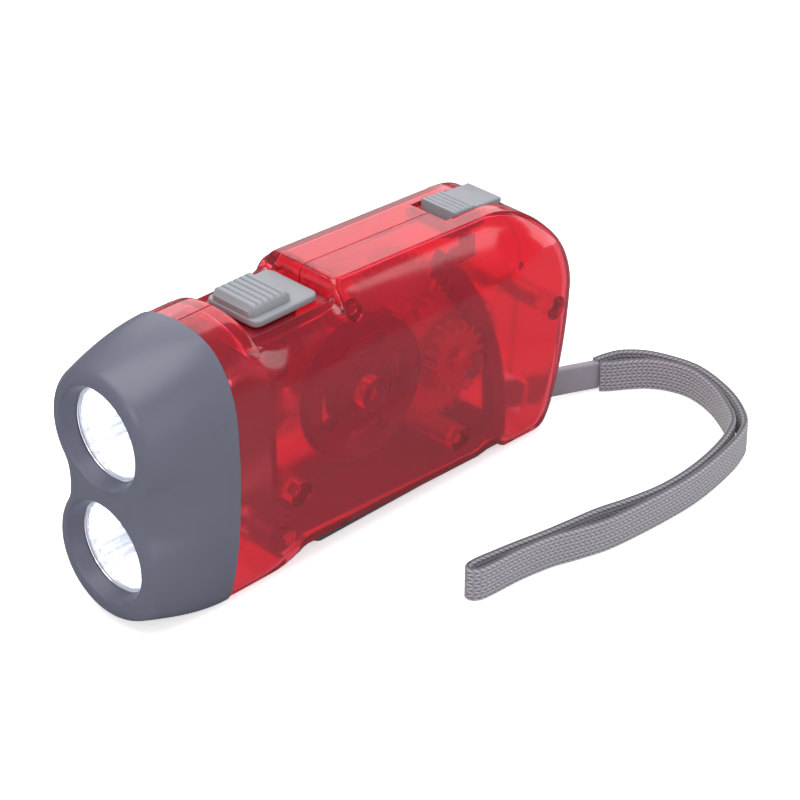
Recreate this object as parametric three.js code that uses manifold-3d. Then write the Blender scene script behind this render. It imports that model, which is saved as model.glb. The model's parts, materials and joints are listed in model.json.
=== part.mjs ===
// Squeeze dynamo torch: two lamps, clear casing, gear train, generator, lever, switch, lock and wrist strap.
// Millimetres, +Z up. The lamps face -X, the tail is at +X and the origin is under the middle of the torch.
// Names that end in FromFront are distances from the lamp face, and heights are above the floor.
import * as THREE from "three";
import { mergeVertices } from "three/addons/utils/BufferGeometryUtils.js";
import Module from "manifold-3d";

const wasm = await Module();
wasm.setup();

// Overall sizes
const overallLength = 109.6;
const casingHeight = 55.2;
const casingHalfWidth = 15.5;

// Clearances that several pieces share
const seatGap = 0.3;
const runningGap = 0.4;
const partingGap = 0.3;
const overrun = 3;
const weldDistance = 0.0001;
const roundSides = 16;
const smallSides = 10;
const wireSides = 6;
const reflectorSides = 14;

// Bezel
const bezelLength = 19.6;
const bezelWall = 1.5;
const bezelProud = 0.3;
const bezelEdge = 2;
const lipLength = 2.6;
const lipMouthShare = 0.93;
const lipRoot = 2;

// Lamps
const lampSpacing = 23.8;
const lampMiddleHeight = 27.1;
const lampMouthRadius = 10.1;
const lampRimWidth = 2.6;
const lampSeatRadius = 9;
const lampSeatDepth = 3;
const waistHandle = 2.4;
const lowerRimDrop = 1.1;
const lensRadius = 9.3;
const lensThickness = 1;
const reflectorDepth = 11;
const reflectorWall = 0.8;
const reflectorMouth = 8.5;
const reflectorFlange = 9.5;
const reflectorFlangeThickness = 0.9;
const ledRadius = 2.4;
const ledLength = 7.6;
const ledCollar = 2.8;
const ledCollarLength = 1;
const ledLeadRadius = 0.35;
const ledLeadOffset = 1.25;

// Casing
const casingWall = 1.8;
const edgeRound = 4.6;
const floorBumpEnd = 29;
const leverEdgeTurn = 33.5;
const leverEdgeStart = 38.6;
const leverEdgeFrontHeight = 4.5;
const leverEdgeEnd = 86;
const leverEdgeRearHeight = 2.2;
const notchFromFront = 91;
const notchHeight = 3.4;
const heelStart = 97;
const heelEnd = 101.5;
const tailLowFromFront = 107.6;
const tailLowHeight = 8;
const tailRadius = 19.2;
const tailCentreDrop = 21.3;
const blockDrop = 0.4;
const blockSlope = 0.044;

// Casing cross section, as half widths and heights
const frontShoulder = { sideDrop: 13.2, flatHalf: 3.5, crown: 0.35, cornerHalf: 13.2, cornerDrop: 0.85 };
const rearShoulder = { sideDrop: 14.2, flatHalf: 8, crown: 0.1, cornerHalf: 12.4, cornerDrop: 3.4 };
const shoulderHalf = 15.2;
const floorFlatHalf = 8.6;
const floorCornerHalf = 11.2;
const lowerSideHalf = 12.4;
const lowerSideHeight = 4.2;
const lowerBulgeHalf = 14.8;
const lowerBulgeHeight = 12;
const upperBulgeHalf = 16.3;
const upperBulgeHeight = 28;

// Deck under the switch
const deckStart = 28.9;
const deckEnd = 49.3;
const deckDepth = 4.7;
const deckRound = 1.4;
const deckBlend = 2;
const deckHalfWidth = 9.6;
const deckFallShare = 0.9;

// Squeeze lever and its rack
const pivotFromFront = 34.8;
const pivotHeight = 7.8;
const pivotPinRadius = 1.5;
const barrelRadius = 4;
const barrelGapHalf = 3.6;
const leverHalfWidth = 9.2;
const leverFloorHeight = 0.3;
const leverWallHeight = 6.4;
const leverSkin = 1.7;
const leverRound = 0.9;
const leverNose = 40.5;
const leverNoseHeight = 4.4;
const leverStart = 47;
const leverFrontAngle = 50;
const rackThickness = 3;
const rackBand = 3.2;
const rackTopAngle = 43.4;
const rackFootAngle = 5.5;
const rackTeethFromAngle = 18;
const slotSideGap = 0.5;
const slotStart = 34.4;
const slotEndGap = 0.9;
const lockNotchDepth = 1.7;
const lockNotchHeight = 2.8;
const lockNotchMiddle = 46;

// Gear train
const gearModule = 0.8;
const toothShare = 0.4;
const tipShare = 0.2;
const addendumShare = 0.85;
const dedendumShare = 1.15;
const driveFromFront = 81;
const driveDrop = 28.8;
const flywheelFromFront = 54.6;
const flywheelTopGap = 3.1;
const pinionTeeth = 16;
const mainTeeth = 32;
const stepTeeth = 9;
const middleTeeth = 30;
const axleRadius = 1;
const middleThickness = 2;
const mainThickness = 2.6;
const mainRecess = 1.4;
const mainHubRadius = 2.6;
const ratchetRadius = 8.4;
const ratchetDepth = 1.1;
const ratchetTeeth = 12;
const pawlRadius = 6.8;
const pawlDiscRadius = 4.4;
const pawlWidth = 1.6;
const pawlShares = { reach: 0.8, shoulder: 0.55, height: 0.8 };
const ratchetRampShare = 0.9;

// Flywheel
const flywheelRadius = 14.4;
const flywheelRim = 3;
const flywheelHub = 7.2;
const flywheelThickness = 2.8;
const flywheelNearSide = -11.2;
const hubRidgeHeight = 0.4;
const hubRidgeWidth = 0.8;
const windowCount = 4;
const windowHalfAngle = 29;
const hubNotchCount = 12;
const hubNotchRadius = 0.45;

// Generator
const magnetRadius = 7;
const magnetThickness = 8;
const sleeveRadius = 2.2;
const airGap = 0.7;
const poleDepth = 3.4;
const poleHalfAngle = 50;
const statorThickness = 5.6;
const statorArm = 3.6;
const yokeFromFront = 39.4;
const coilRadius = 5.5;
const coilLength = 11;
const bobbinFlange = 5.9;
const bobbinSkin = 0.8;

// Lamp board and what it carries
const boardFromFront = 30;
const boardThickness = 1.4;
const boardLow = 15;
const boardTopDrop = 9.2;
const boardHalfWidth = 11.6;
const boardRib = 1.2;
const boardRibBite = 1;
const boardRibLow = 21;
const boardRibTopDrop = 8;
const diodeRadius = 1;
const diodeLength = 4;
const diodeCount = 4;
const diodePitch = 3.2;
const diodeTopDrop = 10.4;
const capacitorRadius = 2.3;
const capacitorLength = 6;
const capacitorDrop = 4.5;
const contactThickness = 0.4;
const contactHalfWidth = 1.3;
const contactLength = 13;
const contactSide = 2.4;

// Cells
const cellRadius = 9.8;
const cellThickness = 2.8;
const cellFromFront = 93.6;
const cellHeight = 18.6;
const cellNearSide = 3.7;
const holderWall = 0.8;

// Wires
const wireRadius = 0.5;
const wireSteps = 10;
const coilWireSide = 2;
const coilWirePitch = 3;
const coilWireSpacing = 4;
const coilWireDrop = 7;
const wallSide = 10.2;

// Switch
const plateStart = 32.3;
const plateLength = 15.8;
const plateHalfWidth = 6.8;
const plateThickness = 1.5;
const plateLift = 0.4;
const plateCorner = 1.6;
const gripLength = 10;
const gripHalfWidth = 5.3;
const gripHeight = 2.2;
const ridgeCount = 6;
const ridgeHeight = 0.5;
const ridgeTopShares = [0.3, 0.7];
const stemLength = 5;
const stemHalfWidth = 1.6;
const switchTravel = 3;
const carriageLength = 9;
const carriageHalfWidth = 4;
const carriageThickness = 2;
const leafThickness = 0.4;

// Lock
const lockStart = 85.6;
const lockLength = 13.4;
const lockHalfWidth = 4.4;
const lockProud = 0.4;
const lockSlope = 0.075;
const lockTipThickness = 0.8;
const lockTravel = 2;
const lockSlotStart = 83.2;
const lockRidgeCount = 5;
const lockRidgeLength = 6;
const lockRidgeHeight = 0.35;
const lockFlangeLength = 6;
const lockFlangeThickness = 1.3;
const hookGap = 0.6;
const hookThickness = 1.4;
const hookTipHeight = 1.6;
const hookNearSide = -7.8;
const hookFarSide = -5;
const lockFlangeSide = 1.4;

// Return spring
const springRadius = 2.9;
const wireOfSpring = 0.35;
const springTurns = 4;
const springPitch = 1.2;
const stepsPerTurn = 8;
const springSides = 5;
const springSteps = 44;
const springLegGap = 0.6;

// Screws and bosses
const screwShank = 1;
const screwHead = 2.2;
const screwHeadThickness = 1.4;
const screwNearEnd = -9.4;
const postRadius = 2.5;
const screwCupRadius = 3.5;
const bossRadius = 3.3;
const driveBossRadius = 2.8;
const middleBossRadius = 2.3;
const axleBite = 1.4;
const screwFarEnd = 13.4;
const frontScrewFromFront = 36;
const frontScrewHeight = 17.7;
const lowerScrewFromFront = 79.4;
const lowerScrewHeight = 10.1;
const lowerScrewFarEnd = 13;
const rearScrewFromFront = 104.2;
const rearScrewDrop = 3.9;
const upperScrewFromFront = 52.6;
const upperScrewDrop = 2.3;
const upperScrewFarEnd = 10.4;

// Strap anchor, tab and strap
const anchorFromFront = 101;
const anchorRadius = 1.1;
const anchorLow = 0.8;
const anchorHigh = 10.2;
const anchorLugHalf = 2.6;
const anchorLugHeight = 2;
const tabEyeRadius = 2.4;
const tabThickness = 1.9;
const tabHeight = 6;
const tabLow = 2.1;
const tabFall = 0.07;
const tabBendFromFront = 115.4;
const tabBendSide = -4.6;
const tabEndFromFront = 123.4;
const tabEndSide = -7.3;
const tailSlotSide = -4.6;
const strapWidth = 7;
const strapThickness = 1.15;
const strapChamfer = 0.25;
const strapFloorGap = 0.05;
const strapSteps = 40;

// Strap legs, as places from the lamp face and across the torch, from the tab to the fold
const outerLeg = [
  [125.0, -7.3], [128.2, -7.9], [131.6, -9.4], [134.9, -13.2], [136.9, -18.8], [137.6, -24.3],
  [136.3, -30.6], [133.3, -37.8], [128.5, -44.2], [123.4, -46.9], [118.0, -48.4], [110.7, -49.7],
  [103.9, -50.3], [96.5, -50.2],
  [89.0, -49.7], [82.0, -48.9], [76.0, -47.2], [70.0, -45.2], [63.0, -44.0], [57.0, -43.6], [53.8, -43.3],
  [52.3, -42.7], [51.7, -41.6],
];
const innerLeg = [
  [124.7, -9.2], [126.7, -10.9], [130.0, -13.2], [133.0, -16.0], [135.1, -20.0], [135.8, -24.6],
  [134.4, -30.6], [131.3, -36.6], [127.0, -42.3], [122.0, -45.0], [116.5, -46.7], [110.4, -47.9],
  [103.9, -48.5], [97.0, -48.3],
  [90.0, -47.0], [83.0, -45.2], [76.5, -44.2], [70.0, -43.2], [63.5, -41.9], [57.5, -40.9], [54.8, -40.5],
  [52.9, -40.5],
];

// Places worked out from the sizes above
const blockHeight = casingHeight - blockDrop;
const deckHeight = casingHeight - deckDepth;
const deckUnder = deckHeight - casingWall;
const tailCentreHeight = casingHeight - tailCentreDrop;
const driveHeight = casingHeight - driveDrop;
const flywheelHeight = deckUnder - flywheelTopGap - flywheelRadius;
const boardHigh = casingHeight - boardTopDrop;
const boardRibHigh = boardHigh - boardRibTopDrop;
const capacitorHeight = boardHigh - capacitorDrop;
const diodeLowHeight = boardHigh - diodeTopDrop - (diodeCount - 1) * diodePitch;
const rearScrewHeight = tailCentreHeight - rearScrewDrop;
const upperScrewHeight = deckHeight - upperScrewDrop;
const frontX = -overallLength / 2;
const tailX = overallLength / 2;
const jointX = frontX + bezelLength;
const casingStart = jointX + seatGap;
const aboveAll = casingHeight + overrun;
const besideAll = casingHalfWidth + overrun;
const degrees = Math.PI / 180;
const pivotX = frontX + pivotFromFront;
const driveX = frontX + driveFromFront;
const flywheelX = frontX + flywheelFromFront;
const anchorX = frontX + anchorFromFront;
const pitchRadius = (teeth) => (teeth * gearModule) / 2;
const driveReach = Math.hypot(driveX - pivotX, driveHeight - pivotHeight);
const driveAngle = Math.atan2(driveHeight - pivotHeight, driveX - pivotX);
const rackPitchRadius = driveReach + pitchRadius(pinionTeeth);
const rackRootRadius = rackPitchRadius + dedendumShare * gearModule;
const rackBackRadius = rackRootRadius + rackBand;
const rackOuterSide = -leverHalfWidth;
const rackInnerSide = rackOuterSide + rackThickness;
const mainNearSide = rackInnerSide + seatGap;
const mainFarSide = mainNearSide + mainThickness;
const middleNearSide = mainFarSide + seatGap;
const middleFarSide = middleNearSide + middleThickness;
const magnetNearSide = middleFarSide + 2 * seatGap;
const magnetFarSide = magnetNearSide + magnetThickness;
const magnetMiddle = (magnetNearSide + magnetFarSide) / 2;
const flywheelFarSide = flywheelNearSide + flywheelThickness;
const axleBore = axleRadius + seatGap;
const plateLow = deckHeight + plateLift;
const plateTop = plateLow + plateThickness;
const stemX = frontX + plateStart + plateLength / 2;
const carriageTop = deckUnder - runningGap;
const carriageLow = carriageTop - carriageThickness;
const lockX = frontX + lockStart;
const lockFlangeTop = topAt(lockStart + lockFlangeLength) - rearShoulder.crown - casingWall - seatGap;
const lockFlangeLow = lockFlangeTop - lockFlangeThickness;
const middleGear = meshedPlace();

const screws = [
  { name: "screw_front", fromFront: frontScrewFromFront, height: frontScrewHeight, farEnd: screwFarEnd },
  { name: "screw_lower", fromFront: lowerScrewFromFront, height: lowerScrewHeight, farEnd: lowerScrewFarEnd },
  { name: "screw_rear", fromFront: rearScrewFromFront, height: rearScrewHeight, farEnd: screwFarEnd },
  { name: "screw_upper", fromFront: upperScrewFromFront, height: upperScrewHeight, farEnd: upperScrewFarEnd },
];

// Top of the casing at a distance from the lamp face
function topAt(fromFront) {
  if (fromFront <= deckStart) {
    return casingHeight;
  }
  if (fromFront < deckEnd) {
    return THREE.MathUtils.mapLinear(fromFront, deckStart, deckEnd, casingHeight, blockHeight);
  }
  return blockHeight - blockSlope * (fromFront - deckEnd);
}

// The middle gear meshes with the main wheel and with the flywheel pinion, above the line between them
function meshedPlace() {
  const toMain = pitchRadius(mainTeeth) + pitchRadius(stepTeeth);
  const toFlywheel = pitchRadius(middleTeeth) + pitchRadius(stepTeeth);
  const span = Math.hypot(flywheelX - driveX, flywheelHeight - driveHeight);
  const spanAngle = Math.atan2(flywheelHeight - driveHeight, flywheelX - driveX);
  const lift = Math.acos((toMain ** 2 + span ** 2 - toFlywheel ** 2) / (2 * toMain * span));
  const angle = spanAngle - lift;
  return { x: driveX + toMain * Math.cos(angle), z: driveHeight + toMain * Math.sin(angle) };
}

// Solids from three.js geometry, and back
function solidOf(geometry) {
  const bare = geometry.clone();
  for (const name of Object.keys(bare.attributes)) {
    if (name !== "position") {
      bare.deleteAttribute(name);
    }
  }
  const merged = mergeVertices(bare, weldDistance);
  const vertProperties = Float32Array.from(merged.attributes.position.array);
  const triVerts = Uint32Array.from(merged.index.array);
  if (signedVolume(vertProperties, triVerts) < 0) {
    for (let start = 0; start < triVerts.length; start += 3) {
      [triVerts[start], triVerts[start + 1]] = [triVerts[start + 1], triVerts[start]];
    }
  }
  return new wasm.Manifold(new wasm.Mesh({ numProp: 3, vertProperties, triVerts }));
}

function signedVolume(positions, triangles) {
  const corner = (index) => new THREE.Vector3().fromArray(positions, 3 * triangles[index]);
  let total = 0;
  for (let start = 0; start < triangles.length; start += 3) {
    total += corner(start).dot(corner(start + 1).cross(corner(start + 2)));
  }
  return total;
}

function geometryOf(solid) {
  const mesh = solid.getMesh();
  const geometry = new THREE.BufferGeometry();
  geometry.setAttribute("position", new THREE.BufferAttribute(mesh.vertProperties, 3));
  geometry.setIndex(new THREE.BufferAttribute(mesh.triVerts, 1));
  geometry.computeVertexNormals();
  return geometry;
}

const joined = (solids) => solids.reduce((whole, solid) => whole.add(solid));
const cutBy = (solid, tools) => tools.reduce((rest, tool) => rest.subtract(tool), solid);

// Shapes laid along the torch's axes
function box(xs, ys, zs) {
  const geometry = new THREE.BoxGeometry(xs[1] - xs[0], ys[1] - ys[0], zs[1] - zs[0]);
  geometry.translate((xs[0] + xs[1]) / 2, (ys[0] + ys[1]) / 2, (zs[0] + zs[1]) / 2);
  return solidOf(geometry);
}

function cylinderY(radius, ys, x = 0, z = 0, sides = roundSides) {
  const geometry = new THREE.CylinderGeometry(radius, radius, ys[1] - ys[0], sides);
  geometry.translate(x, (ys[0] + ys[1]) / 2, z);
  return solidOf(geometry);
}

function cylinderZ(radius, zs, x = 0, y = 0, sides = roundSides) {
  const geometry = new THREE.CylinderGeometry(radius, radius, zs[1] - zs[0], sides);
  geometry.rotateX(Math.PI / 2);
  geometry.translate(x, y, (zs[0] + zs[1]) / 2);
  return solidOf(geometry);
}

function cylinderX(radius, xs, y = 0, z = 0, sides = roundSides) {
  const geometry = new THREE.CylinderGeometry(radius, radius, xs[1] - xs[0], sides);
  geometry.rotateZ(Math.PI / 2);
  geometry.translate((xs[0] + xs[1]) / 2, y, z);
  return solidOf(geometry);
}

// A turned piece about the X axis, from a list of [x, radius] that closes on itself or on the axis
function turnedX(profile, sides = roundSides) {
  const points = profile.map(([x, radius]) => new THREE.Vector2(radius, x));
  const geometry = new THREE.LatheGeometry(points, sides);
  geometry.rotateZ(-Math.PI / 2);
  return solidOf(geometry);
}

const shapeOf = (points) => new THREE.Shape(points.map(([across, up]) => new THREE.Vector2(across, up)));

function plateXZ(shape, ys, options = {}) {
  const depth = ys[1] - ys[0];
  const geometry = new THREE.ExtrudeGeometry(shape, { depth, bevelEnabled: false, ...options });
  geometry.rotateX(Math.PI / 2);
  geometry.translate(0, ys[1], 0);
  return solidOf(geometry);
}

function plateXY(shape, zs, options = {}) {
  const depth = zs[1] - zs[0];
  const geometry = new THREE.ExtrudeGeometry(shape, { depth, bevelEnabled: false, ...options });
  geometry.translate(0, 0, zs[0]);
  return solidOf(geometry);
}

function barYZ(shape, xs, options = {}) {
  const depth = xs[1] - xs[0];
  const geometry = new THREE.ExtrudeGeometry(shape, { depth, bevelEnabled: false, ...options });
  const turn = new THREE.Matrix4();
  turn.makeBasis(new THREE.Vector3(0, 1, 0), new THREE.Vector3(0, 0, 1), new THREE.Vector3(1, 0, 0));
  geometry.applyMatrix4(turn);
  geometry.translate(xs[0], 0, 0);
  return solidOf(geometry);
}

function roundedRectangle(xs, ys, radius) {
  const shape = new THREE.Shape();
  shape.moveTo(xs[0] + radius, ys[0]);
  shape.absarc(xs[1] - radius, ys[0] + radius, radius, -Math.PI / 2, 0);
  shape.absarc(xs[1] - radius, ys[1] - radius, radius, 0, Math.PI / 2);
  shape.absarc(xs[0] + radius, ys[1] - radius, radius, Math.PI / 2, Math.PI);
  shape.absarc(xs[0] + radius, ys[0] + radius, radius, Math.PI, 1.5 * Math.PI);
  return shape;
}

// A skin through rings of points, closed by a flat cap at each end
function loft(rings) {
  const count = rings[0].length;
  const positions = rings.flat().flatMap((point) => point.toArray());
  const triangles = [];
  for (let ring = 0; ring + 1 < rings.length; ring += 1) {
    for (let side = 0; side < count; side += 1) {
      const here = ring * count + side;
      const next = ring * count + ((side + 1) % count);
      triangles.push(here, next, here + count, next, next + count, here + count);
    }
  }
  const flat = (ring) => ring.map((point) => new THREE.Vector2(point.y, point.z));
  const last = (rings.length - 1) * count;
  for (const [a, b, c] of THREE.ShapeUtils.triangulateShape(flat(rings[0]), [])) {
    triangles.push(c, b, a);
  }
  for (const [a, b, c] of THREE.ShapeUtils.triangulateShape(flat(rings.at(-1)), [])) {
    triangles.push(last + a, last + b, last + c);
  }
  const geometry = new THREE.BufferGeometry();
  geometry.setAttribute("position", new THREE.Float32BufferAttribute(positions, 3));
  geometry.setIndex(triangles);
  return solidOf(geometry);
}

// An outline that turns counterclockwise, moved in by a distance square to its own run
function insetOutline(points, distance) {
  const count = points.length;
  return points.map((point, index) => {
    const before = points[(index + count - 1) % count];
    const after = points[(index + 1) % count];
    const run = after.clone().sub(before).normalize();
    return new THREE.Vector2(point.x - run.y * distance, point.y + run.x * distance);
  });
}

// Casing cross section: one half from the floor up to the crown, and its mirror
const cornerSteps = 5;
const sideSteps = 5;

function sectionOutline(blend, top) {
  const mix = (name) => THREE.MathUtils.lerp(frontShoulder[name], rearShoulder[name], blend);
  const half = new THREE.Path();
  half.moveTo(floorFlatHalf, 0);
  half.quadraticCurveTo(floorCornerHalf, 0, lowerSideHalf, lowerSideHeight);
  const sideTop = casingHeight - mix("sideDrop");
  half.bezierCurveTo(
    lowerBulgeHalf, lowerBulgeHeight, upperBulgeHalf, upperBulgeHeight, shoulderHalf, sideTop,
  );
  const cornerTop = top - mix("crown");
  half.quadraticCurveTo(mix("cornerHalf"), cornerTop - mix("cornerDrop"), mix("flatHalf"), cornerTop);
  const floorCorner = half.curves[0].getPoints(cornerSteps);
  const side = half.curves[1].getPoints(sideSteps).slice(1);
  const shoulder = half.curves[2].getPoints(cornerSteps).slice(1);
  const right = [...floorCorner, ...side, ...shoulder];
  const left = right.map((point) => new THREE.Vector2(-point.x, point.y)).reverse();
  return [...right, new THREE.Vector2(0, top), ...left];
}

const ringAt = (x, outline) => outline.map((point) => new THREE.Vector3(x, point.x, point.y));

function sectionLoft(inset, start) {
  const middle = frontX + (deckEnd + overallLength) / 2;
  const deckX = frontX + deckStart;
  const stations = [start, deckX, deckX + deckBlend, frontX + deckEnd, middle, tailX + overrun];
  const blendShares = [0, 0.3, 1, 1, 1, 1];
  const rings = stations.map((x, index) => {
    const outline = sectionOutline(blendShares[index], topAt(x - frontX));
    return ringAt(x, insetOutline(outline, inset));
  });
  return loft(rings);
}

// Casing side outline: floor bump, edge over the lever, notch, heel, tail arc and a top that clears the crown
function sideShape() {
  const shape = new THREE.Shape();
  const before = jointX - 2 * edgeRound;
  const tailLowX = frontX + tailLowFromFront;
  shape.moveTo(before, 0);
  shape.lineTo(frontX + floorBumpEnd, 0);
  shape.quadraticCurveTo(frontX + leverEdgeTurn, 0, frontX + leverEdgeStart, leverEdgeFrontHeight);
  shape.lineTo(frontX + leverEdgeEnd, leverEdgeRearHeight);
  shape.quadraticCurveTo(
    frontX + (leverEdgeEnd + notchFromFront) / 2, notchHeight, frontX + notchFromFront, notchHeight,
  );
  shape.quadraticCurveTo(frontX + (notchFromFront + heelStart) / 2, 0, frontX + heelStart, 0);
  shape.lineTo(frontX + heelEnd, 0);
  shape.quadraticCurveTo(tailLowX, 0, tailLowX, tailLowHeight);
  shape.lineTo(tailX, tailCentreHeight);
  shape.absarc(tailX - tailRadius, tailCentreHeight, tailRadius, 0, Math.PI / 2);
  shape.lineTo(frontX + deckEnd, aboveAll);
  shape.lineTo(before, aboveAll);
  return shape;
}

function casingBlank(inset, start) {
  const reach = casingHalfWidth + partingGap - edgeRound;
  const side = plateXZ(sideShape(), [-reach, reach], {
    bevelEnabled: true,
    bevelThickness: edgeRound - inset,
    bevelSize: edgeRound - inset,
    bevelOffset: -edgeRound,
    bevelSegments: 3,
    curveSegments: 7,
  });
  return side.intersect(sectionLoft(inset, start));
}

// Materials
const plastic = (color, roughness = 0.45) => (
  new THREE.MeshStandardMaterial({ color, roughness, metalness: 0 })
);
const metal = (color, roughness = 0.3) => new THREE.MeshStandardMaterial({ color, roughness, metalness: 1 });
const clear = (color, opacity) => new THREE.MeshStandardMaterial({
  color, opacity, roughness: 0.15, metalness: 0, transparent: true,
});
const clearRed = clear(0xd81f2c, 0.6);
const clearLens = clear(0xf2f5ff, 0.4);
const bezelGrey = plastic(0x6f737e);
const sliderGrey = plastic(0x9a9ea6);
const leverGrey = plastic(0x5b5e68);
const gearWhite = plastic(0xd9d4cd);
const flywheelGrey = plastic(0x7a7780);
const mirror = metal(0xe8ebf2, 0.1);
const litWhite = new THREE.MeshStandardMaterial({ color: 0xffffff, emissive: 0xffffff, roughness: 0.2 });
const boardGreen = plastic(0x2f6b3c, 0.5);
const darkPlastic = plastic(0x222226, 0.4);
const steel = metal(0xb9bbbf, 0.3);
const magnetDark = metal(0x4a4a4e, 0.5);
const copper = metal(0xb8642c, 0.35);
const brass = metal(0xc9a44c, 0.35);
const wireRed = plastic(0xb5202a, 0.5);
const wireBlack = plastic(0x1c1c20, 0.5);
const webbing = plastic(0xa39fae, 0.9);

const torch = new THREE.Group();

function addPiece(name, solid, material, parent = torch) {
  const mesh = new THREE.Mesh(geometryOf(solid), material);
  mesh.name = name;
  parent.add(mesh);
  return mesh;
}

function groupAt(x, y, z) {
  const group = new THREE.Group();
  group.position.set(x, y, z);
  torch.add(group);
  return group;
}

// Gear outlines: trapezoid teeth round a circle in the XZ plane
const polar = (radius, angle) => [radius * Math.cos(angle), radius * Math.sin(angle)];
const toothStep = (teeth) => (2 * Math.PI) / teeth;
const tipHalfOf = (step) => (step * tipShare) / 2;
const rootHalfOf = (step) => (step * (2 * toothShare - tipShare)) / 2;

function gear(teeth, toothAngle, ys) {
  const step = toothStep(teeth);
  const root = pitchRadius(teeth) - dedendumShare * gearModule;
  const tip = pitchRadius(teeth) + addendumShare * gearModule;
  const points = [];
  for (let tooth = 0; tooth < teeth; tooth += 1) {
    const middle = toothAngle + tooth * step;
    points.push(polar(root, middle - rootHalfOf(step)), polar(tip, middle - tipHalfOf(step)));
    points.push(polar(tip, middle + tipHalfOf(step)), polar(root, middle + rootHalfOf(step)));
  }
  return plateXZ(shapeOf(points), ys);
}

const gapAt = (teeth, angle) => angle + toothStep(teeth) / 2;
const angleTo = (from, to) => Math.atan2(to.z - from.z, to.x - from.x);
const drivePlace = { x: driveX, z: driveHeight };
const flywheelPlace = { x: flywheelX, z: flywheelHeight };

// Casing shells: a hollow half with bosses for the axles, screw posts, board ribs and the strap anchor's lugs
const hubNearSide = flywheelNearSide - hubRidgeHeight;
const axles = [
  { name: "flywheel_axle", place: flywheelPlace, near: hubNearSide, far: magnetFarSide, boss: bossRadius },
  { name: "drive_axle", place: drivePlace, near: rackOuterSide, far: mainFarSide, boss: driveBossRadius },
  { name: "middle_axle", place: middleGear, near: null, far: middleFarSide, boss: middleBossRadius },
];

function axleSpan(axle) {
  const near = axle.near === null ? mainNearSide : axle.near - seatGap - axleBite / 2;
  return [near, axle.far + seatGap + 2 * axleBite];
}

const pivotSpan = leverHalfWidth + runningGap + axleBite;

function towardsWall(side, from) {
  return side < 0 ? [-besideAll, from] : [from, besideAll];
}

function axleBosses(side, blank) {
  const bosses = [];
  for (const axle of axles) {
    const face = side < 0 ? axle.near : axle.far;
    if (face !== null) {
      const from = face + side * seatGap;
      const { x, z } = axle.place;
      bosses.push(cylinderY(axle.boss, towardsWall(side, from), x, z).intersect(blank));
    }
  }
  const pivotFace = side * (leverHalfWidth + runningGap);
  bosses.push(cylinderY(barrelRadius, towardsWall(side, pivotFace), pivotX, pivotHeight).intersect(blank));
  return bosses;
}

function axleBores() {
  const bores = axles.map((axle) => {
    const [near, far] = axleSpan(axle);
    return cylinderY(axleBore, [near - seatGap, far + seatGap], axle.place.x, axle.place.z, smallSides);
  });
  const span = pivotSpan + seatGap;
  bores.push(cylinderY(pivotPinRadius + seatGap, [-span, span], pivotX, pivotHeight, smallSides));
  return bores;
}

function screwPosts(side, blank) {
  const from = (side * partingGap) / 2;
  return screws.map(({ fromFront, height, farEnd }) => {
    const cupFrom = farEnd - 2 * screwHeadThickness - seatGap;
    const x = frontX + fromFront;
    const post = cylinderY(postRadius, towardsWall(side, from), x, height, smallSides);
    const cup = cylinderY(screwCupRadius, [cupFrom, besideAll], x, height, smallSides);
    return (side < 0 ? post : post.add(cup)).intersect(blank);
  });
}

function screwBores() {
  return screws.flatMap(({ fromFront, height, farEnd }) => {
    const x = frontX + fromFront;
    const headSide = farEnd - screwHeadThickness - seatGap;
    return [
      cylinderY(screwShank + seatGap, [screwNearEnd - seatGap, besideAll], x, height, smallSides),
      cylinderY(screwHead + seatGap, [headSide, besideAll], x, height, smallSides),
    ];
  });
}

function boardRibs(side, blank) {
  const front = frontX + boardFromFront - seatGap - boardRib;
  const rear = frontX + boardFromFront + boardThickness + seatGap;
  const inner = side * (boardHalfWidth - boardRibBite);
  return [front, rear].map((x) => (
    box([x, x + boardRib], towardsWall(side, inner), [boardRibLow, boardRibHigh]).intersect(blank)
  ));
}

function anchorLug(blank) {
  const xs = [anchorX - anchorLugHalf, tailX];
  const zs = [anchorHigh - anchorLugHeight / 2, anchorHigh + anchorLugHeight / 2];
  return box(xs, [-anchorLugHalf, anchorLugHalf], zs).intersect(blank);
}

function anchorPin(clearance) {
  const zs = [anchorLow - clearance, anchorHigh + clearance];
  return cylinderZ(anchorRadius + clearance, zs, anchorX, 0, smallSides);
}

// The recess under the switch plate, with a rounded foot and a rounded front edge on the rear block
function deckRecess() {
  const shape = new THREE.Shape();
  const start = frontX + deckStart;
  const end = frontX + deckEnd;
  const blockTop = topAt(deckEnd);
  shape.moveTo(start, aboveAll);
  shape.lineTo(start, deckHeight);
  shape.lineTo(end - deckRound, deckHeight);
  shape.absarc(end - deckRound, deckHeight + deckRound, deckRound, -Math.PI / 2, 0);
  shape.lineTo(end, blockTop - deckRound);
  shape.quadraticCurveTo(end, blockTop, end + deckRound, blockTop);
  shape.lineTo(end + 2 * deckRound, aboveAll);
  const steps = plateXZ(shape, [-besideAll, besideAll], { curveSegments: 4 });
  const fall = deckFallShare * (besideAll - deckHalfWidth);
  const shoulders = [-1, 1].map((side) => barYZ(shapeOf([
    [side * deckHalfWidth, deckHeight], [side * besideAll, deckHeight - fall],
    [side * besideAll, aboveAll], [side * deckHalfWidth, aboveAll],
  ]), [start, end]));
  return joined([steps, ...shoulders]);
}

function leverSlot() {
  const half = leverHalfWidth + slotSideGap;
  const end = pivotX + rackBackRadius + slotEndGap;
  return box([frontX + slotStart, end], [-half, half], [-overrun, leverWallHeight]);
}

function switchSlot() {
  const start = stemX - stemLength / 2 - switchTravel - seatGap;
  const half = stemHalfWidth + seatGap;
  return box([start, stemX + stemLength / 2 + seatGap], [-half, half], [deckUnder - overrun, aboveAll]);
}

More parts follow.
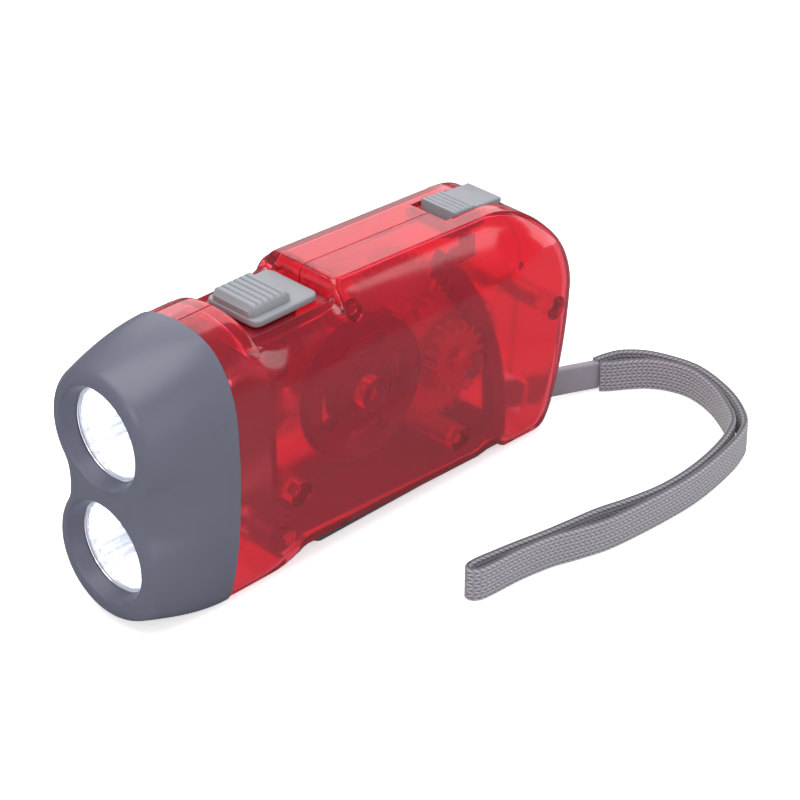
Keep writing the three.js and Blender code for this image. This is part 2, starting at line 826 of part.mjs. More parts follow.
function lockSlot() {
  const half = lockHalfWidth + seatGap;
  const xs = [frontX + lockSlotStart, lockX + lockLength + seatGap];
  return box(xs, [-half, half], [lockFlangeTop, aboveAll]);
}

function tailSlot() {
  const xs = [anchorX - tabEyeRadius - seatGap, tailX + overrun];
  const ys = [tailSlotSide, tabEyeRadius + seatGap];
  const tabLowest = tabLow - tabFall * (tailX - anchorX);
  return box(xs, ys, [tabLowest - seatGap, tabLow + tabHeight + seatGap]);
}

function casingShell(side) {
  const blank = casingBlank(0, casingStart).subtract(deckRecess());
  const underDeck = [frontX + deckStart - casingWall, frontX + deckEnd + casingWall];
  const deckFloor = box(underDeck, [-besideAll, besideAll], [deckUnder, aboveAll]);
  const hollow = casingBlank(casingWall, casingStart - overrun).subtract(deckFloor);
  const skin = blank.subtract(hollow);
  const fittings = [
    ...axleBosses(side, blank), ...screwPosts(side, blank), ...boardRibs(side, blank), anchorLug(blank),
  ];
  const cuts = [
    ...axleBores(), ...screwBores(), leverSlot(), switchSlot(), lockSlot(), tailSlot(), anchorPin(seatGap),
  ];
  const ownSide = towardsWall(side, (side * partingGap) / 2);
  const halfSpace = box([frontX - overrun, tailX + overrun], ownSide, [-overrun, aboveAll]);
  return cutBy(joined([skin, ...fittings]), cuts).intersect(halfSpace);
}

addPiece("shell_left", casingShell(-1), clearRed);
addPiece("shell_right", casingShell(1), clearRed);

for (const axle of axles) {
  const rod = cylinderY(axleRadius, axleSpan(axle), 0, 0, smallSides);
  addPiece(axle.name, rod, steel, groupAt(axle.place.x, 0, axle.place.z));
}

for (const { name, fromFront, height, farEnd } of screws) {
  const screwLength = farEnd - screwNearEnd;
  const shank = cylinderY(screwShank, [0, screwLength], 0, 0, smallSides);
  const head = cylinderY(screwHead, [screwLength - screwHeadThickness, screwLength], 0, 0, smallSides);
  const slotHalf = screwShank / 2;
  const slotYs = [screwLength - slotHalf, screwLength + slotHalf];
  const driverSlot = box([-screwHead, screwHead], slotYs, [-slotHalf / 2, slotHalf / 2]);
  const screw = shank.add(head).subtract(driverSlot);
  addPiece(name, screw, steel, groupAt(frontX + fromFront, screwNearEnd, height));
}

addPiece("strap_anchor_pin", anchorPin(0), steel);

// Bezel: a skin that flares from the two lamp rims to the casing's outline, with a lip that enters the casing
const rimSteps = 8;
const waistSteps = 4;
const waistAngle = 38 * degrees;

function lampOutline(radius) {
  const reach = lampSpacing / 2;
  const onRim = (angle, side) => {
    const drop = side < 0 ? lowerRimDrop : 0;
    const height = lampMiddleHeight + side * (reach + radius * Math.sin(angle)) - drop;
    return new THREE.Vector2(radius * Math.cos(angle), height);
  };
  const arc = [];
  for (let step = 0; step <= rimSteps; step += 1) {
    arc.push(Math.PI / 2 - (step / rimSteps) * (Math.PI / 2 + waistAngle));
  }
  const upper = arc.map((angle) => onRim(angle, 1));
  const lower = arc.map((angle) => onRim(angle, -1));
  const inward = waistHandle * Math.sin(waistAngle);
  const along = waistHandle * Math.cos(waistAngle);
  const [from, to] = [lower.at(-1), upper.at(-1)];
  const afterFrom = new THREE.Vector2(from.x - inward, from.y + along);
  const beforeTo = new THREE.Vector2(to.x - inward, to.y - along);
  const waist = new THREE.CubicBezierCurve(from, afterFrom, beforeTo, to);
  const between = waist.getPoints(waistSteps).slice(1, -1);
  const right = [...lower, ...between, ...[...upper].reverse()];
  const left = right.slice(1, -1).map((point) => new THREE.Vector2(-point.x, point.y)).reverse();
  return [...right, ...left];
}

// Where a ray from the lamps' middle through a point meets an outline
function rayHit(outline, point) {
  const centre = new THREE.Vector2(0, lampMiddleHeight);
  const ray = point.clone().sub(centre);
  for (let index = 0; index < outline.length; index += 1) {
    const start = outline[index].clone().sub(centre);
    const edge = outline[(index + 1) % outline.length].clone().sub(centre).sub(start);
    const facing = ray.cross(edge);
    const along = start.cross(edge) / facing;
    const across = start.cross(ray) / facing;
    if (along > 0 && across >= -Number.EPSILON && across <= 1) {
      return centre.clone().addScaledVector(ray, along);
    }
  }
  throw new Error("the casing outline doesn't surround the lamps");
}

const flareShares = [0, 0.03, 0.08, 0.2, 0.36, 0.54, 0.76, 1];
const flarePower = 1.7;
const flareAt = (share) => 1 - (1 - share) ** flarePower;

function bezelLoft(inset, fromX, toX) {
  const rim = lampOutline(lampMouthRadius + lampRimWidth);
  const joint = insetOutline(sectionOutline(0, casingHeight), -bezelProud);
  const rings = [];
  const span = toX - fromX;
  for (const share of flareShares) {
    const x = fromX + share * span;
    const place = THREE.MathUtils.clamp((x - frontX) / bezelLength, 0, 1);
    const shortOf = Math.max(0, 1 - (x - frontX) / bezelEdge);
    const rounding = bezelEdge * (1 - Math.sqrt(1 - shortOf ** 2));
    const outline = rim.map((point) => point.clone().lerp(rayHit(joint, point), flareAt(place)));
    const moved = insetOutline(outline, inset + rounding);
    rings.push(ringAt(x, moved.map((point) => new THREE.Vector2(point.x, Math.max(point.y, inset)))));
  }
  return loft(rings);
}

function sectionBar(inset, share, xs) {
  const centre = new THREE.Vector2(0, lampMiddleHeight);
  const full = insetOutline(sectionOutline(0, casingHeight), inset);
  const outline = full.map((point) => point.lerp(centre, 1 - share));
  return loft([ringAt(xs[0], outline), ringAt(xs[1], outline)]);
}

function bezel() {
  const lipInset = casingWall + 2 * seatGap;
  const skin = bezelLoft(0, frontX, jointX);
  const lip = sectionBar(lipInset, 1, [jointX - lipRoot, jointX + lipLength]);
  const hollow = bezelLoft(bezelWall, frontX + lampSeatDepth, jointX - lipRoot);
  const mouthSpan = [jointX - lipRoot - overrun, jointX + lipLength + overrun];
  const mouth = sectionBar(lipInset, lipMouthShare, mouthSpan);
  const holes = [-1, 1].map((side) => turnedX([
    [frontX - overrun, 0],
    [frontX - overrun, lampMouthRadius],
    [frontX, lampMouthRadius],
    [frontX + lampSeatDepth, lampSeatRadius],
    [frontX + lampSeatDepth + overrun, lampSeatRadius],
    [frontX + lampSeatDepth + overrun, 0],
  ], 2 * roundSides).translate([0, 0, lampMiddleHeight + (side * lampSpacing) / 2]));
  return cutBy(skin.add(lip), [hollow, mouth, ...holes]);
}

addPiece("bezel", bezel(), bezelGrey);

// Lamps: lens, reflector and LED with its two leads, one set above the other
function reflector() {
  const steps = 5;
  const rearRadius = ledRadius + runningGap;
  const fallShare = 1 - (rearRadius / reflectorMouth) ** 2;
  const bowl = [];
  for (let step = 0; step <= steps; step += 1) {
    const share = step / steps;
    bowl.push([share * reflectorDepth, reflectorMouth * Math.sqrt(1 - fallShare * share)]);
  }
  const back = bowl.map(([x, radius]) => [x, radius + reflectorWall]).reverse();
  const flange = [[reflectorFlangeThickness, reflectorFlange], [0, reflectorFlange]];
  const outside = back.filter(([x]) => x > reflectorFlangeThickness);
  return turnedX([...bowl, ...outside, ...flange, bowl[0]], reflectorSides);
}

function led() {
  const domeSteps = 4;
  const profile = [];
  for (let step = 0; step <= domeSteps; step += 1) {
    const angle = (step / domeSteps) * (Math.PI / 2);
    profile.push([ledRadius * (1 - Math.cos(angle)), ledRadius * Math.sin(angle)]);
  }
  profile.push([ledLength, ledRadius], [ledLength, ledCollar]);
  profile.push([ledLength + ledCollarLength, ledCollar], [ledLength + ledCollarLength, 0]);
  const body = turnedX(profile, smallSides);
  const leadEnd = boardFromFront - seatGap - ledStart;
  const leads = [-1, 1].map((side) => (
    cylinderX(ledLeadRadius, [ledLength, leadEnd], side * ledLeadOffset, 0, wireSides)
  ));
  return joined([body, ...leads]);
}

const lensStart = lampSeatDepth + seatGap;
const reflectorStart = lensStart + lensThickness + seatGap;
const ledStart = reflectorStart + reflectorDepth + seatGap - ledLength;

for (const [name, side] of [["upper", 1], ["lower", -1]]) {
  const lamp = groupAt(frontX, 0, lampMiddleHeight + (side * lampSpacing) / 2);
  addPiece(`lens_${name}`, cylinderX(lensRadius, [lensStart, lensStart + lensThickness]), clearLens, lamp);
  addPiece(`reflector_${name}`, reflector(), mirror, lamp).position.x = reflectorStart;
  addPiece(`led_${name}`, led(), litWhite, lamp).position.x = ledStart;
}

// Lamp board with its diodes, capacitor and the two contact strips of the switch
const boardX = frontX + boardFromFront;
const boardRear = boardX + boardThickness;
const boardCorner = 2;
const boardYs = [-boardHalfWidth, boardHalfWidth];
const boardShape = roundedRectangle(boardYs, [boardLow, boardHigh], boardCorner);
addPiece("lamp_board", barYZ(boardShape, [boardX, boardRear], { curveSegments: 3 }), boardGreen);

for (let index = 0; index < diodeCount; index += 1) {
  const height = diodeLowHeight + index * diodePitch;
  const ys = [-diodeLength / 2, diodeLength / 2];
  const diode = groupAt(boardRear + seatGap + diodeRadius, -boardHalfWidth / 2 - boardRibBite, height);
  addPiece(`diode_${index + 1}`, cylinderY(diodeRadius, ys, 0, 0, smallSides), darkPlastic, diode);
}

const capacitorX = boardRear + seatGap;
const capacitorXs = [capacitorX, capacitorX + capacitorLength];
const capacitor = cylinderX(capacitorRadius, capacitorXs, -boardHalfWidth / 2, capacitorHeight);
addPiece("capacitor", capacitor, darkPlastic);

const stripTop = carriageLow - 2 * leafThickness - seatGap;
for (const [name, side] of [["left", -1], ["right", 1]]) {
  const middle = side * contactSide;
  const xs = [boardRear + seatGap, boardRear + seatGap + contactLength];
  const ys = [middle - contactHalfWidth, middle + contactHalfWidth];
  addPiece(`contact_strip_${name}`, box(xs, ys, [stripTop - contactThickness, stripTop]), brass);
}

// Switch: plate with a ribbed grip and a stem, the carriage under the deck and its leaf contact
function ridges(count, start, length, halfWidth, low, height) {
  const pitch = length / count;
  return Array.from({ length: count }, (_, index) => {
    const from = start + index * pitch;
    const [rise, fall] = ridgeTopShares.map((share) => from + share * pitch);
    const profile = shapeOf([
      [from, low - height], [from + pitch, low - height], [fall, low + height], [rise, low + height],
    ]);
    return plateXZ(profile, [-halfWidth, halfWidth]);
  });
}

function switchSlider() {
  const start = frontX + plateStart;
  const plateYs = [-plateHalfWidth, plateHalfWidth];
  const gripYs = [-gripHalfWidth, gripHalfWidth];
  const margin = plateCorner / 2;
  const plateShape = roundedRectangle([start, start + plateLength], plateYs, plateCorner);
  const gripShape = roundedRectangle([start, start + gripLength], gripYs, margin);
  const plate = plateXY(plateShape, [plateLow, plateTop], { curveSegments: 3 });
  const gripTop = plateTop + gripHeight;
  const grip = plateXY(gripShape, [plateLow, gripTop], { curveSegments: 3 });
  const ridgeSpan = gripLength - 2 * margin;
  const cross = ridges(ridgeCount, start + margin, ridgeSpan, gripHalfWidth, gripTop, ridgeHeight);
  const stem = box(
    [stemX - stemLength / 2, stemX + stemLength / 2],
    [-stemHalfWidth, stemHalfWidth],
    [carriageLow, plateLow + plateThickness / 2],
  );
  return joined([plate, grip, stem, ...cross]);
}

addPiece("switch_slider", switchSlider(), sliderGrey);

const carriage = box(
  [stemX - carriageLength / 2, stemX + carriageLength / 2],
  [-carriageHalfWidth, carriageHalfWidth],
  [carriageLow, carriageTop],
);
const carriageHole = box(
  [stemX - stemLength / 2 - seatGap, stemX + stemLength / 2 + seatGap],
  [-stemHalfWidth - seatGap, stemHalfWidth + seatGap],
  [carriageLow - overrun, carriageTop + overrun],
);
addPiece("switch_carriage", carriage.subtract(carriageHole), darkPlastic);

const leafTop = carriageLow - seatGap;
const leaf = box(
  [stemX - carriageLength / 2, stemX + carriageLength / 2],
  [-carriageHalfWidth, carriageHalfWidth],
  [leafTop - leafThickness, leafTop],
);
addPiece("switch_leaf", leaf, brass);

// Lock: a sloping plate in the casing's top, a flange under it and a hook that faces the rack's notch
const hookReachHeight = lockNotchMiddle - pivotHeight;
const hookLowReach = hookReachHeight - hookTipHeight / 2;
const hookTipX = pivotX + Math.sqrt(rackBackRadius ** 2 - hookLowReach ** 2) + hookGap;

function lockSlider() {
  const end = lockX + lockLength;
  const front = topAt(lockStart) + lockProud;
  const rear = front - lockSlope * lockLength;
  const plateShape = shapeOf([
    [lockX, lockFlangeLow], [lockX + lockFlangeLength, lockFlangeLow],
    [lockX + lockFlangeLength, lockFlangeTop], [end, rear - lockTipThickness], [end, rear], [lockX, front],
  ]);
  const plate = plateXZ(plateShape, [-lockHalfWidth, lockHalfWidth]);
  const flatGrips = ridges(lockRidgeCount, 0, lockRidgeLength, lockHalfWidth, 0, lockRidgeHeight);
  const slope = Math.atan(lockSlope) / degrees;
  const grips = flatGrips.map((ridge) => ridge.rotate([0, slope, 0]).translate([lockX, 0, front]));
  const hookX = hookTipX + lockTravel + 2 * hookGap;
  const hookYs = [hookNearSide, hookFarSide];
  const hookLow = lockNotchMiddle - hookTipHeight / 2;
  const flangeHalf = lockHalfWidth + lockFlangeSide;
  const flangeXs = [hookX, lockX + lockFlangeLength];
  const flange = box(flangeXs, [-flangeHalf, flangeHalf], [lockFlangeLow, lockFlangeTop]);
  const arm = box([hookX, hookX + hookThickness], hookYs, [hookLow, lockFlangeLow + seatGap]);
  const tip = box([hookTipX, hookX + hookThickness], hookYs, [hookLow, hookLow + hookTipHeight]);
  return joined([plate, ...grips, flange, arm, tip]);
}

addPiece("lock_slider", lockSlider(), sliderGrey);

// Squeeze lever: pivot barrel, channel-shaped handle and the curved rack behind it
function leverHandle() {
  const half = leverHalfWidth;
  const section = new THREE.Shape();
  section.moveTo(-half + leverRound, leverFloorHeight);
  section.absarc(half - leverRound, leverFloorHeight + leverRound, leverRound, -Math.PI / 2, 0);
  section.lineTo(half, leverWallHeight);
  section.lineTo(half - leverSkin, leverWallHeight);
  section.lineTo(half - leverSkin, leverFloorHeight + leverSkin);
  section.lineTo(-half + leverSkin, leverFloorHeight + leverSkin);
  section.lineTo(-half + leverSkin, leverWallHeight);
  section.lineTo(-half, leverWallHeight);
  section.absarc(-half + leverRound, leverFloorHeight + leverRound, leverRound, Math.PI, 1.5 * Math.PI);
  const channelXs = [pivotX - overrun, pivotX + rackBackRadius + overrun];
  const channel = barYZ(section, channelXs, { curveSegments: 3 });
  const side = new THREE.Shape();
  const toWorld = (radius, angle) => [
    pivotX + radius * Math.cos(angle), pivotHeight + radius * Math.sin(angle),
  ];
  const rearRadius = rackBackRadius - seatGap;
  const lowAngle = -Math.asin((pivotHeight - leverFloorHeight) / rearRadius);
  side.moveTo(pivotX, pivotHeight);
  side.lineTo(...toWorld(barrelRadius, -leverFrontAngle * degrees));
  side.lineTo(frontX + leverNose, leverNoseHeight);
  side.quadraticCurveTo(
    frontX + (leverNose + leverStart) / 2, leverFloorHeight, frontX + leverStart, leverFloorHeight,
  );
  side.lineTo(...toWorld(rearRadius, lowAngle));
  side.absarc(pivotX, pivotHeight, rearRadius, lowAngle, 0);
  side.lineTo(pivotX, pivotHeight);
  const outline = plateXZ(side, [-half, half], { curveSegments: 4 });
  const rearWall = box(
    [pivotX + rackRootRadius, pivotX + rackBackRadius + overrun],
    [-half + leverSkin / 2, half - leverSkin / 2],
    [leverFloorHeight, leverWallHeight],
  );
  return channel.add(rearWall).intersect(outline);
}

function leverRack() {
  const step = gearModule / rackPitchRadius;
  const toothAngleStep = Math.PI * step;
  const from = rackTeethFromAngle * degrees;
  const to = rackTopAngle * degrees;
  const tip = rackPitchRadius - addendumShare * gearModule;
  const shape = new THREE.Shape();
  const first = Math.ceil((from - driveAngle) / toothAngleStep - 0.5) + 0.5;
  const last = Math.floor((to - driveAngle) / toothAngleStep - 0.5 - toothShare / 2) + 0.5;
  const foot = -rackFootAngle * degrees;
  shape.moveTo(...polar(rackBackRadius, foot));
  shape.absarc(0, 0, rackBackRadius, foot, to);
  shape.lineTo(...polar(rackRootRadius, to));
  for (let tooth = last; tooth >= first; tooth -= 1) {
    const middle = driveAngle + tooth * toothAngleStep;
    shape.lineTo(...polar(rackRootRadius, middle + rootHalfOf(toothAngleStep)));
    shape.lineTo(...polar(tip, middle + tipHalfOf(toothAngleStep)));
    shape.lineTo(...polar(tip, middle - tipHalfOf(toothAngleStep)));
    shape.lineTo(...polar(rackRootRadius, middle - rootHalfOf(toothAngleStep)));
  }
  shape.lineTo(...polar(rackRootRadius, from / 2));
  shape.lineTo(...polar(rackRootRadius, foot));
  const rack = plateXZ(shape, [rackOuterSide, rackInnerSide], { curveSegments: 12 });
  return rack.translate([pivotX, 0, pivotHeight]);
}

function squeezeLever() {
  const barrel = cylinderY(barrelRadius, [-leverHalfWidth, leverHalfWidth], pivotX, pivotHeight);
  const boreReach = leverHalfWidth + overrun;
  const boreRadius = pivotPinRadius + seatGap;
  const bore = cylinderY(boreRadius, [-boreReach, boreReach], pivotX, pivotHeight, smallSides);
  const springRoom = box(
    [pivotX - barrelRadius - overrun, pivotX + barrelRadius + seatGap],
    [-barrelGapHalf, barrelGapHalf],
    [-overrun, pivotHeight + barrelRadius + overrun],
  );
  const notchX = pivotX + Math.sqrt(rackBackRadius ** 2 - hookReachHeight ** 2) - lockNotchDepth;
  const notch = box(
    [notchX, notchX + 2 * overrun],
    [rackOuterSide - overrun, rackInnerSide + overrun],
    [lockNotchMiddle - lockNotchHeight / 2, lockNotchMiddle + lockNotchHeight / 2],
  );
  const roomForRack = sectionLoft(casingWall + runningGap, casingStart);
  const rack = leverRack().intersect(roomForRack);
  const whole = joined([barrel, leverHandle(), rack]);
  return cutBy(whole, [bore, springRoom, notch]);
}

addPiece("squeeze_lever", squeezeLever(), leverGrey);

const pivotPin = cylinderY(pivotPinRadius, [-pivotSpan, pivotSpan], pivotX, pivotHeight, smallSides);
addPiece("lever_pivot_pin", pivotPin, steel);

// Return spring: a wound wire round the pivot pin with one leg on the lever and one on the casing's floor
function returnSpring() {
  const points = [];
  const start = -(springTurns * springPitch) / 2;
  const leverLeg = pivotHeight - leverFloorHeight - leverSkin - wireOfSpring - springLegGap;
  const casingLeg = pivotHeight - casingWall - wireOfSpring - springLegGap;
  points.push(new THREE.Vector3(4 * springRadius, start, -leverLeg));
  points.push(new THREE.Vector3(2 * springRadius, start, -leverLeg));
  const steps = springTurns * stepsPerTurn;
  for (let step = 1; step < steps; step += 1) {
    const angle = -Math.PI / 2 - (step / stepsPerTurn) * 2 * Math.PI;
    const side = start + (step / stepsPerTurn) * springPitch;
    points.push(new THREE.Vector3(springRadius * Math.cos(angle), side, springRadius * Math.sin(angle)));
  }
  points.push(new THREE.Vector3(-2 * springRadius, -start, -casingLeg));
  points.push(new THREE.Vector3(-3 * springRadius, -start, -casingLeg));
  return points;
}

function tubeAlong(points, radius, sides, steps) {
  const path = new THREE.CatmullRomCurve3(points, false, "centripetal");
  const section = new THREE.Shape();
  for (let side = 0; side < sides; side += 1) {
    const angle = (side / sides) * 2 * Math.PI;
    const [across, up] = polar(radius, angle);
    if (side === 0) {
      section.moveTo(across, up);
    } else {
      section.lineTo(across, up);
    }
  }
  section.closePath();
  return solidOf(new THREE.ExtrudeGeometry(section, { steps, extrudePath: path, bevelEnabled: false }));
}

// Least gap between turns of the wire: the nearest points that lie further apart along it than half a turn
function leastGap(points, radius, halfTurn) {
  const path = new THREE.CatmullRomCurve3(points, false, "centripetal");
  const samples = path.getSpacedPoints(8 * springSteps);
  const skip = Math.ceil((8 * springSteps * halfTurn) / path.getLength());
  let least = Infinity;
  for (let first = 0; first < samples.length; first += 1) {
    for (let second = first + skip; second < samples.length; second += 1) {
      least = Math.min(least, samples[first].distanceTo(samples[second]));
    }
  }
  return least - 2 * radius;
}

const springPoints = returnSpring();
const springGap = leastGap(springPoints, wireOfSpring, Math.PI * springRadius);
console.log(`return_spring: least gap between turns ${springGap.toFixed(2)} mm`);
const spring = tubeAlong(springPoints, wireOfSpring, springSides, springSteps);
addPiece("return_spring", spring, steel, groupAt(pivotX, 0, pivotHeight));

// Drive pinion: meshes with the rack and carries two pawls inside the main wheel's ratchet ring
function drivePinion() {
  const teeth = gear(pinionTeeth, driveAngle, [rackOuterSide, rackInnerSide]);
  const pawlFar = mainNearSide + mainRecess - seatGap;
  const collar = cylinderY(mainHubRadius, [rackInnerSide - seatGap, mainNearSide + seatGap]);
  const disc = cylinderY(pawlDiscRadius, [mainNearSide, pawlFar]);
  const pawls = [0, 1].map((index) => {
    const arm = shapeOf([
      [0, pawlDiscRadius - pawlWidth],
      [pawlRadius * pawlShares.reach, pawlDiscRadius - pawlWidth / 2],
      [pawlRadius * pawlShares.shoulder, pawlRadius * pawlShares.height],
      [0, pawlDiscRadius],
    ]);
    return plateXZ(arm, [mainNearSide, pawlFar]).rotate([0, 180 * index, 0]);
  });
  const bore = cylinderY(axleBore, [rackOuterSide - overrun, mainFarSide], 0, 0, smallSides);
  return cutBy(joined([teeth, collar, disc, ...pawls]), [bore]);
}

function mainWheel() {
  const toothAngle = gapAt(mainTeeth, angleTo(drivePlace, middleGear));
  const teeth = gear(mainTeeth, toothAngle, [mainNearSide, mainFarSide]);
  const points = [];
  const ramp = ratchetRampShare * toothStep(ratchetTeeth);
  for (let tooth = 0; tooth < ratchetTeeth; tooth += 1) {
    const angle = tooth * toothStep(ratchetTeeth);
    points.push(polar(ratchetRadius - ratchetDepth, angle), polar(ratchetRadius, angle + ramp));
  }
  const recess = plateXZ(shapeOf(points), [mainNearSide - overrun, mainNearSide + mainRecess]);
  const bore = cylinderY(axleBore, [mainNearSide, mainFarSide + overrun], 0, 0, smallSides);
  return cutBy(teeth, [recess, bore]);
}

const driveGroup = groupAt(driveX, 0, driveHeight);
addPiece("drive_pinion", drivePinion(), gearWhite, driveGroup);
addPiece("main_wheel", mainWheel(), gearWhite, driveGroup);

// Middle gear: a small step that meshes with the main wheel and a large one for the flywheel's pinion
function middleStep() {
  const small = gear(stepTeeth, angleTo(middleGear, drivePlace), [mainNearSide, middleNearSide + seatGap]);
  const toothAngle = gapAt(middleTeeth, angleTo(middleGear, flywheelPlace));
  const large = gear(middleTeeth, toothAngle, [middleNearSide, middleFarSide]);
  const bore = cylinderY(axleBore, [mainNearSide - overrun, middleFarSide + overrun], 0, 0, smallSides);
  return cutBy(small.add(large), [bore]);
}

addPiece("middle_gear", middleStep(), gearWhite, groupAt(middleGear.x, 0, middleGear.z));

// Flywheel: rim, four windows, notched hub, pinion and the sleeve that carries the magnet
function flywheel() {
  const disc = cylinderY(flywheelRadius, [flywheelNearSide, flywheelFarSide], 0, 0, 2 * roundSides);
  const ridgeOuter = cylinderY(flywheelHub, [hubNearSide, flywheelFarSide], 0, 0, 2 * roundSides);
  const ridgeInner = cylinderY(flywheelHub - hubRidgeWidth, [hubNearSide - overrun, flywheelNearSide]);
  const windows = Array.from({ length: windowCount }, (_, index) => (
    windowShape(index * toothStep(windowCount))
  ));
  const through = [flywheelNearSide - overrun, flywheelFarSide + overrun];
  const notchReach = flywheelHub - 2 * hubRidgeWidth - hubNotchRadius;
  const notches = Array.from({ length: hubNotchCount }, (_, index) => {
    const [x, z] = polar(notchReach, (index + 0.5) * toothStep(hubNotchCount));
    return cylinderY(hubNotchRadius, through, x, z, wireSides);
  });
  const pinionSpan = [flywheelFarSide - seatGap, middleFarSide + seatGap];
  const pinion = gear(stepTeeth, angleTo(flywheelPlace, middleGear), pinionSpan);
  const sleeve = cylinderY(sleeveRadius, [middleFarSide, magnetFarSide], 0, 0, smallSides);
  const bore = cylinderY(axleBore, [flywheelNearSide - overrun, magnetFarSide + overrun], 0, 0, smallSides);
  const wheel = cutBy(disc.add(ridgeOuter), [ridgeInner, ...windows, ...notches]);
  return cutBy(joined([wheel, pinion, sleeve]), [bore]);
}

function windowShape(angle) {
  const half = windowHalfAngle * degrees;
  const shape = new THREE.Shape();
  const outer = flywheelRadius - flywheelRim;
  const inner = flywheelHub + hubRidgeWidth;
  shape.absarc(0, 0, outer, angle - half, angle + half);
  shape.absarc(0, 0, inner, angle + half, angle - half, true);
  return plateXZ(shape, [flywheelNearSide - overrun, flywheelFarSide + overrun], { curveSegments: 5 });
}

function rotorMagnet() {
  const body = cylinderY(magnetRadius, [magnetNearSide, magnetFarSide]);
  const through = [magnetNearSide - overrun, magnetFarSide + overrun];
  return body.subtract(cylinderY(sleeveRadius + seatGap, through, 0, 0, smallSides));
}

const flywheelGroup = groupAt(flywheelX, 0, flywheelHeight);
addPiece("flywheel", flywheel(), flywheelGrey, flywheelGroup);
addPiece("rotor_magnet", rotorMagnet(), magnetDark, flywheelGroup);

// Stator: two curved poles round the magnet, two arms and the yoke that carries the coil
const statorYs = [magnetMiddle - statorThickness / 2, magnetMiddle + statorThickness / 2];
const poleInner = magnetRadius + airGap;
const poleOuter = poleInner + poleDepth;
const yokeX = yokeFromFront - flywheelFromFront;

function stator() {
  const poles = [90, 270].map((middle) => {
    const shape = new THREE.Shape();
    const from = (middle - poleHalfAngle) * degrees;
    const to = (middle + poleHalfAngle) * degrees;
    shape.absarc(0, 0, poleOuter, from, to);
    shape.absarc(0, 0, poleInner, to, from, true);
    return plateXZ(shape, statorYs, { curveSegments: 8 });
  });
  const arms = [-1, 1].map((side) => {
    const outer = side * poleOuter;
    const inner = side * (poleOuter - statorArm);
    return box([yokeX - statorArm / 2, 0], statorYs, [Math.min(outer, inner), Math.max(outer, inner)]);
  });
  const armTrim = cylinderY(poleInner, [statorYs[0] - overrun, statorYs[1] + overrun], 0, 0, 2 * roundSides);
  const yoke = box([yokeX - statorArm / 2, yokeX + statorArm / 2], statorYs, [-poleOuter, poleOuter]);
  return joined([...poles, ...arms, yoke]).subtract(armTrim);
}

function bobbin() {
  const core = [yokeX, magnetMiddle];
  const ends = coilLength / 2 + bobbinSkin;
  const coreRadius = Math.hypot(statorArm, statorThickness) / 2 + seatGap + bobbinSkin;
  const tube = cylinderZ(coreRadius, [-ends, ends], ...core);
  const flanges = [-1, 1].map((side) => {
    const faces = [side * ends, side * (ends - bobbinSkin)].sort((one, other) => one - other);
    return cylinderZ(bobbinFlange, faces, ...core);
  });
  const hole = box(
    [yokeX - statorArm / 2 - seatGap, yokeX + statorArm / 2 + seatGap],
    [statorYs[0] - seatGap, statorYs[1] + seatGap],
    [-ends - overrun, ends + overrun],
  );
  return joined([tube, ...flanges]).subtract(hole);
}

function coil() {
  const coreRadius = Math.hypot(statorArm, statorThickness) / 2 + 2 * seatGap + bobbinSkin;
  const zs = [-coilLength / 2 + seatGap, coilLength / 2 - seatGap];
  const winding = cylinderZ(coilRadius, zs, yokeX, magnetMiddle);
  return winding.subtract(cylinderZ(coreRadius, [zs[0] - overrun, zs[1] + overrun], yokeX, magnetMiddle));
}

const statorGroup = groupAt(flywheelX, 0, flywheelHeight);
addPiece("stator_core", stator(), steel, statorGroup);
addPiece("coil_bobbin", bobbin(), darkPlastic, statorGroup);
addPiece("coil_winding", coil(), copper, statorGroup);

// Cells: two coin cells face to face in a cup
const cellGroup = groupAt(frontX + cellFromFront, cellNearSide, cellHeight);
const cellStack = 2 * (cellThickness + seatGap) + seatGap;
const cellSides = 24;
const cupRadius = cellRadius + holderWall + seatGap;
const cup = cylinderY(cupRadius, [-holderWall, cellStack + holderWall], 0, 0, cellSides);
const cupRoom = cylinderY(cellRadius + seatGap, [0, cellStack], 0, 0, cellSides);
const cupMouth = cylinderY(cellRadius - holderWall, [-holderWall - overrun, seatGap], 0, 0, cellSides);
const innerCell = cylinderY(cellRadius, [seatGap, seatGap + cellThickness], 0, 0, cellSides);
const outerCell = cylinderY(cellRadius, [2 * seatGap + cellThickness, cellStack - seatGap], 0, 0, cellSides);
addPiece("cell_holder", cutBy(cup, [cupRoom, cupMouth]), darkPlastic, cellGroup);
addPiece("cell_inner", innerCell, steel, cellGroup);
addPiece("cell_outer", outerCell, steel, cellGroup);

// Wires from the board to the coil and to the cells
const boardFace = boardRear + seatGap + wireRadius;
const coilFront = flywheelX + yokeX - coilRadius;
const coilWires = [
  { name: "wire_coil_red", material: wireRed, place: 0 },
  { name: "wire_coil_black", material: wireBlack, place: 1 },
];
for (const { name, material, place } of coilWires) {
  const across = coilWireSide + place * coilWirePitch;
  const high = flywheelHeight + coilLength / 6 - place * coilWireSpacing;
  const low = high - coilWireDrop;
  const points = [
    new THREE.Vector3(boardFace, across, low),
    new THREE.Vector3(boardFace + wireRadius, across, (low + high) / 2),
    new THREE.Vector3(coilFront - 2 * wireRadius, across, high),
  ];
  addPiece(name, tubeAlong(points, wireRadius, wireSides, wireSteps), material);
}

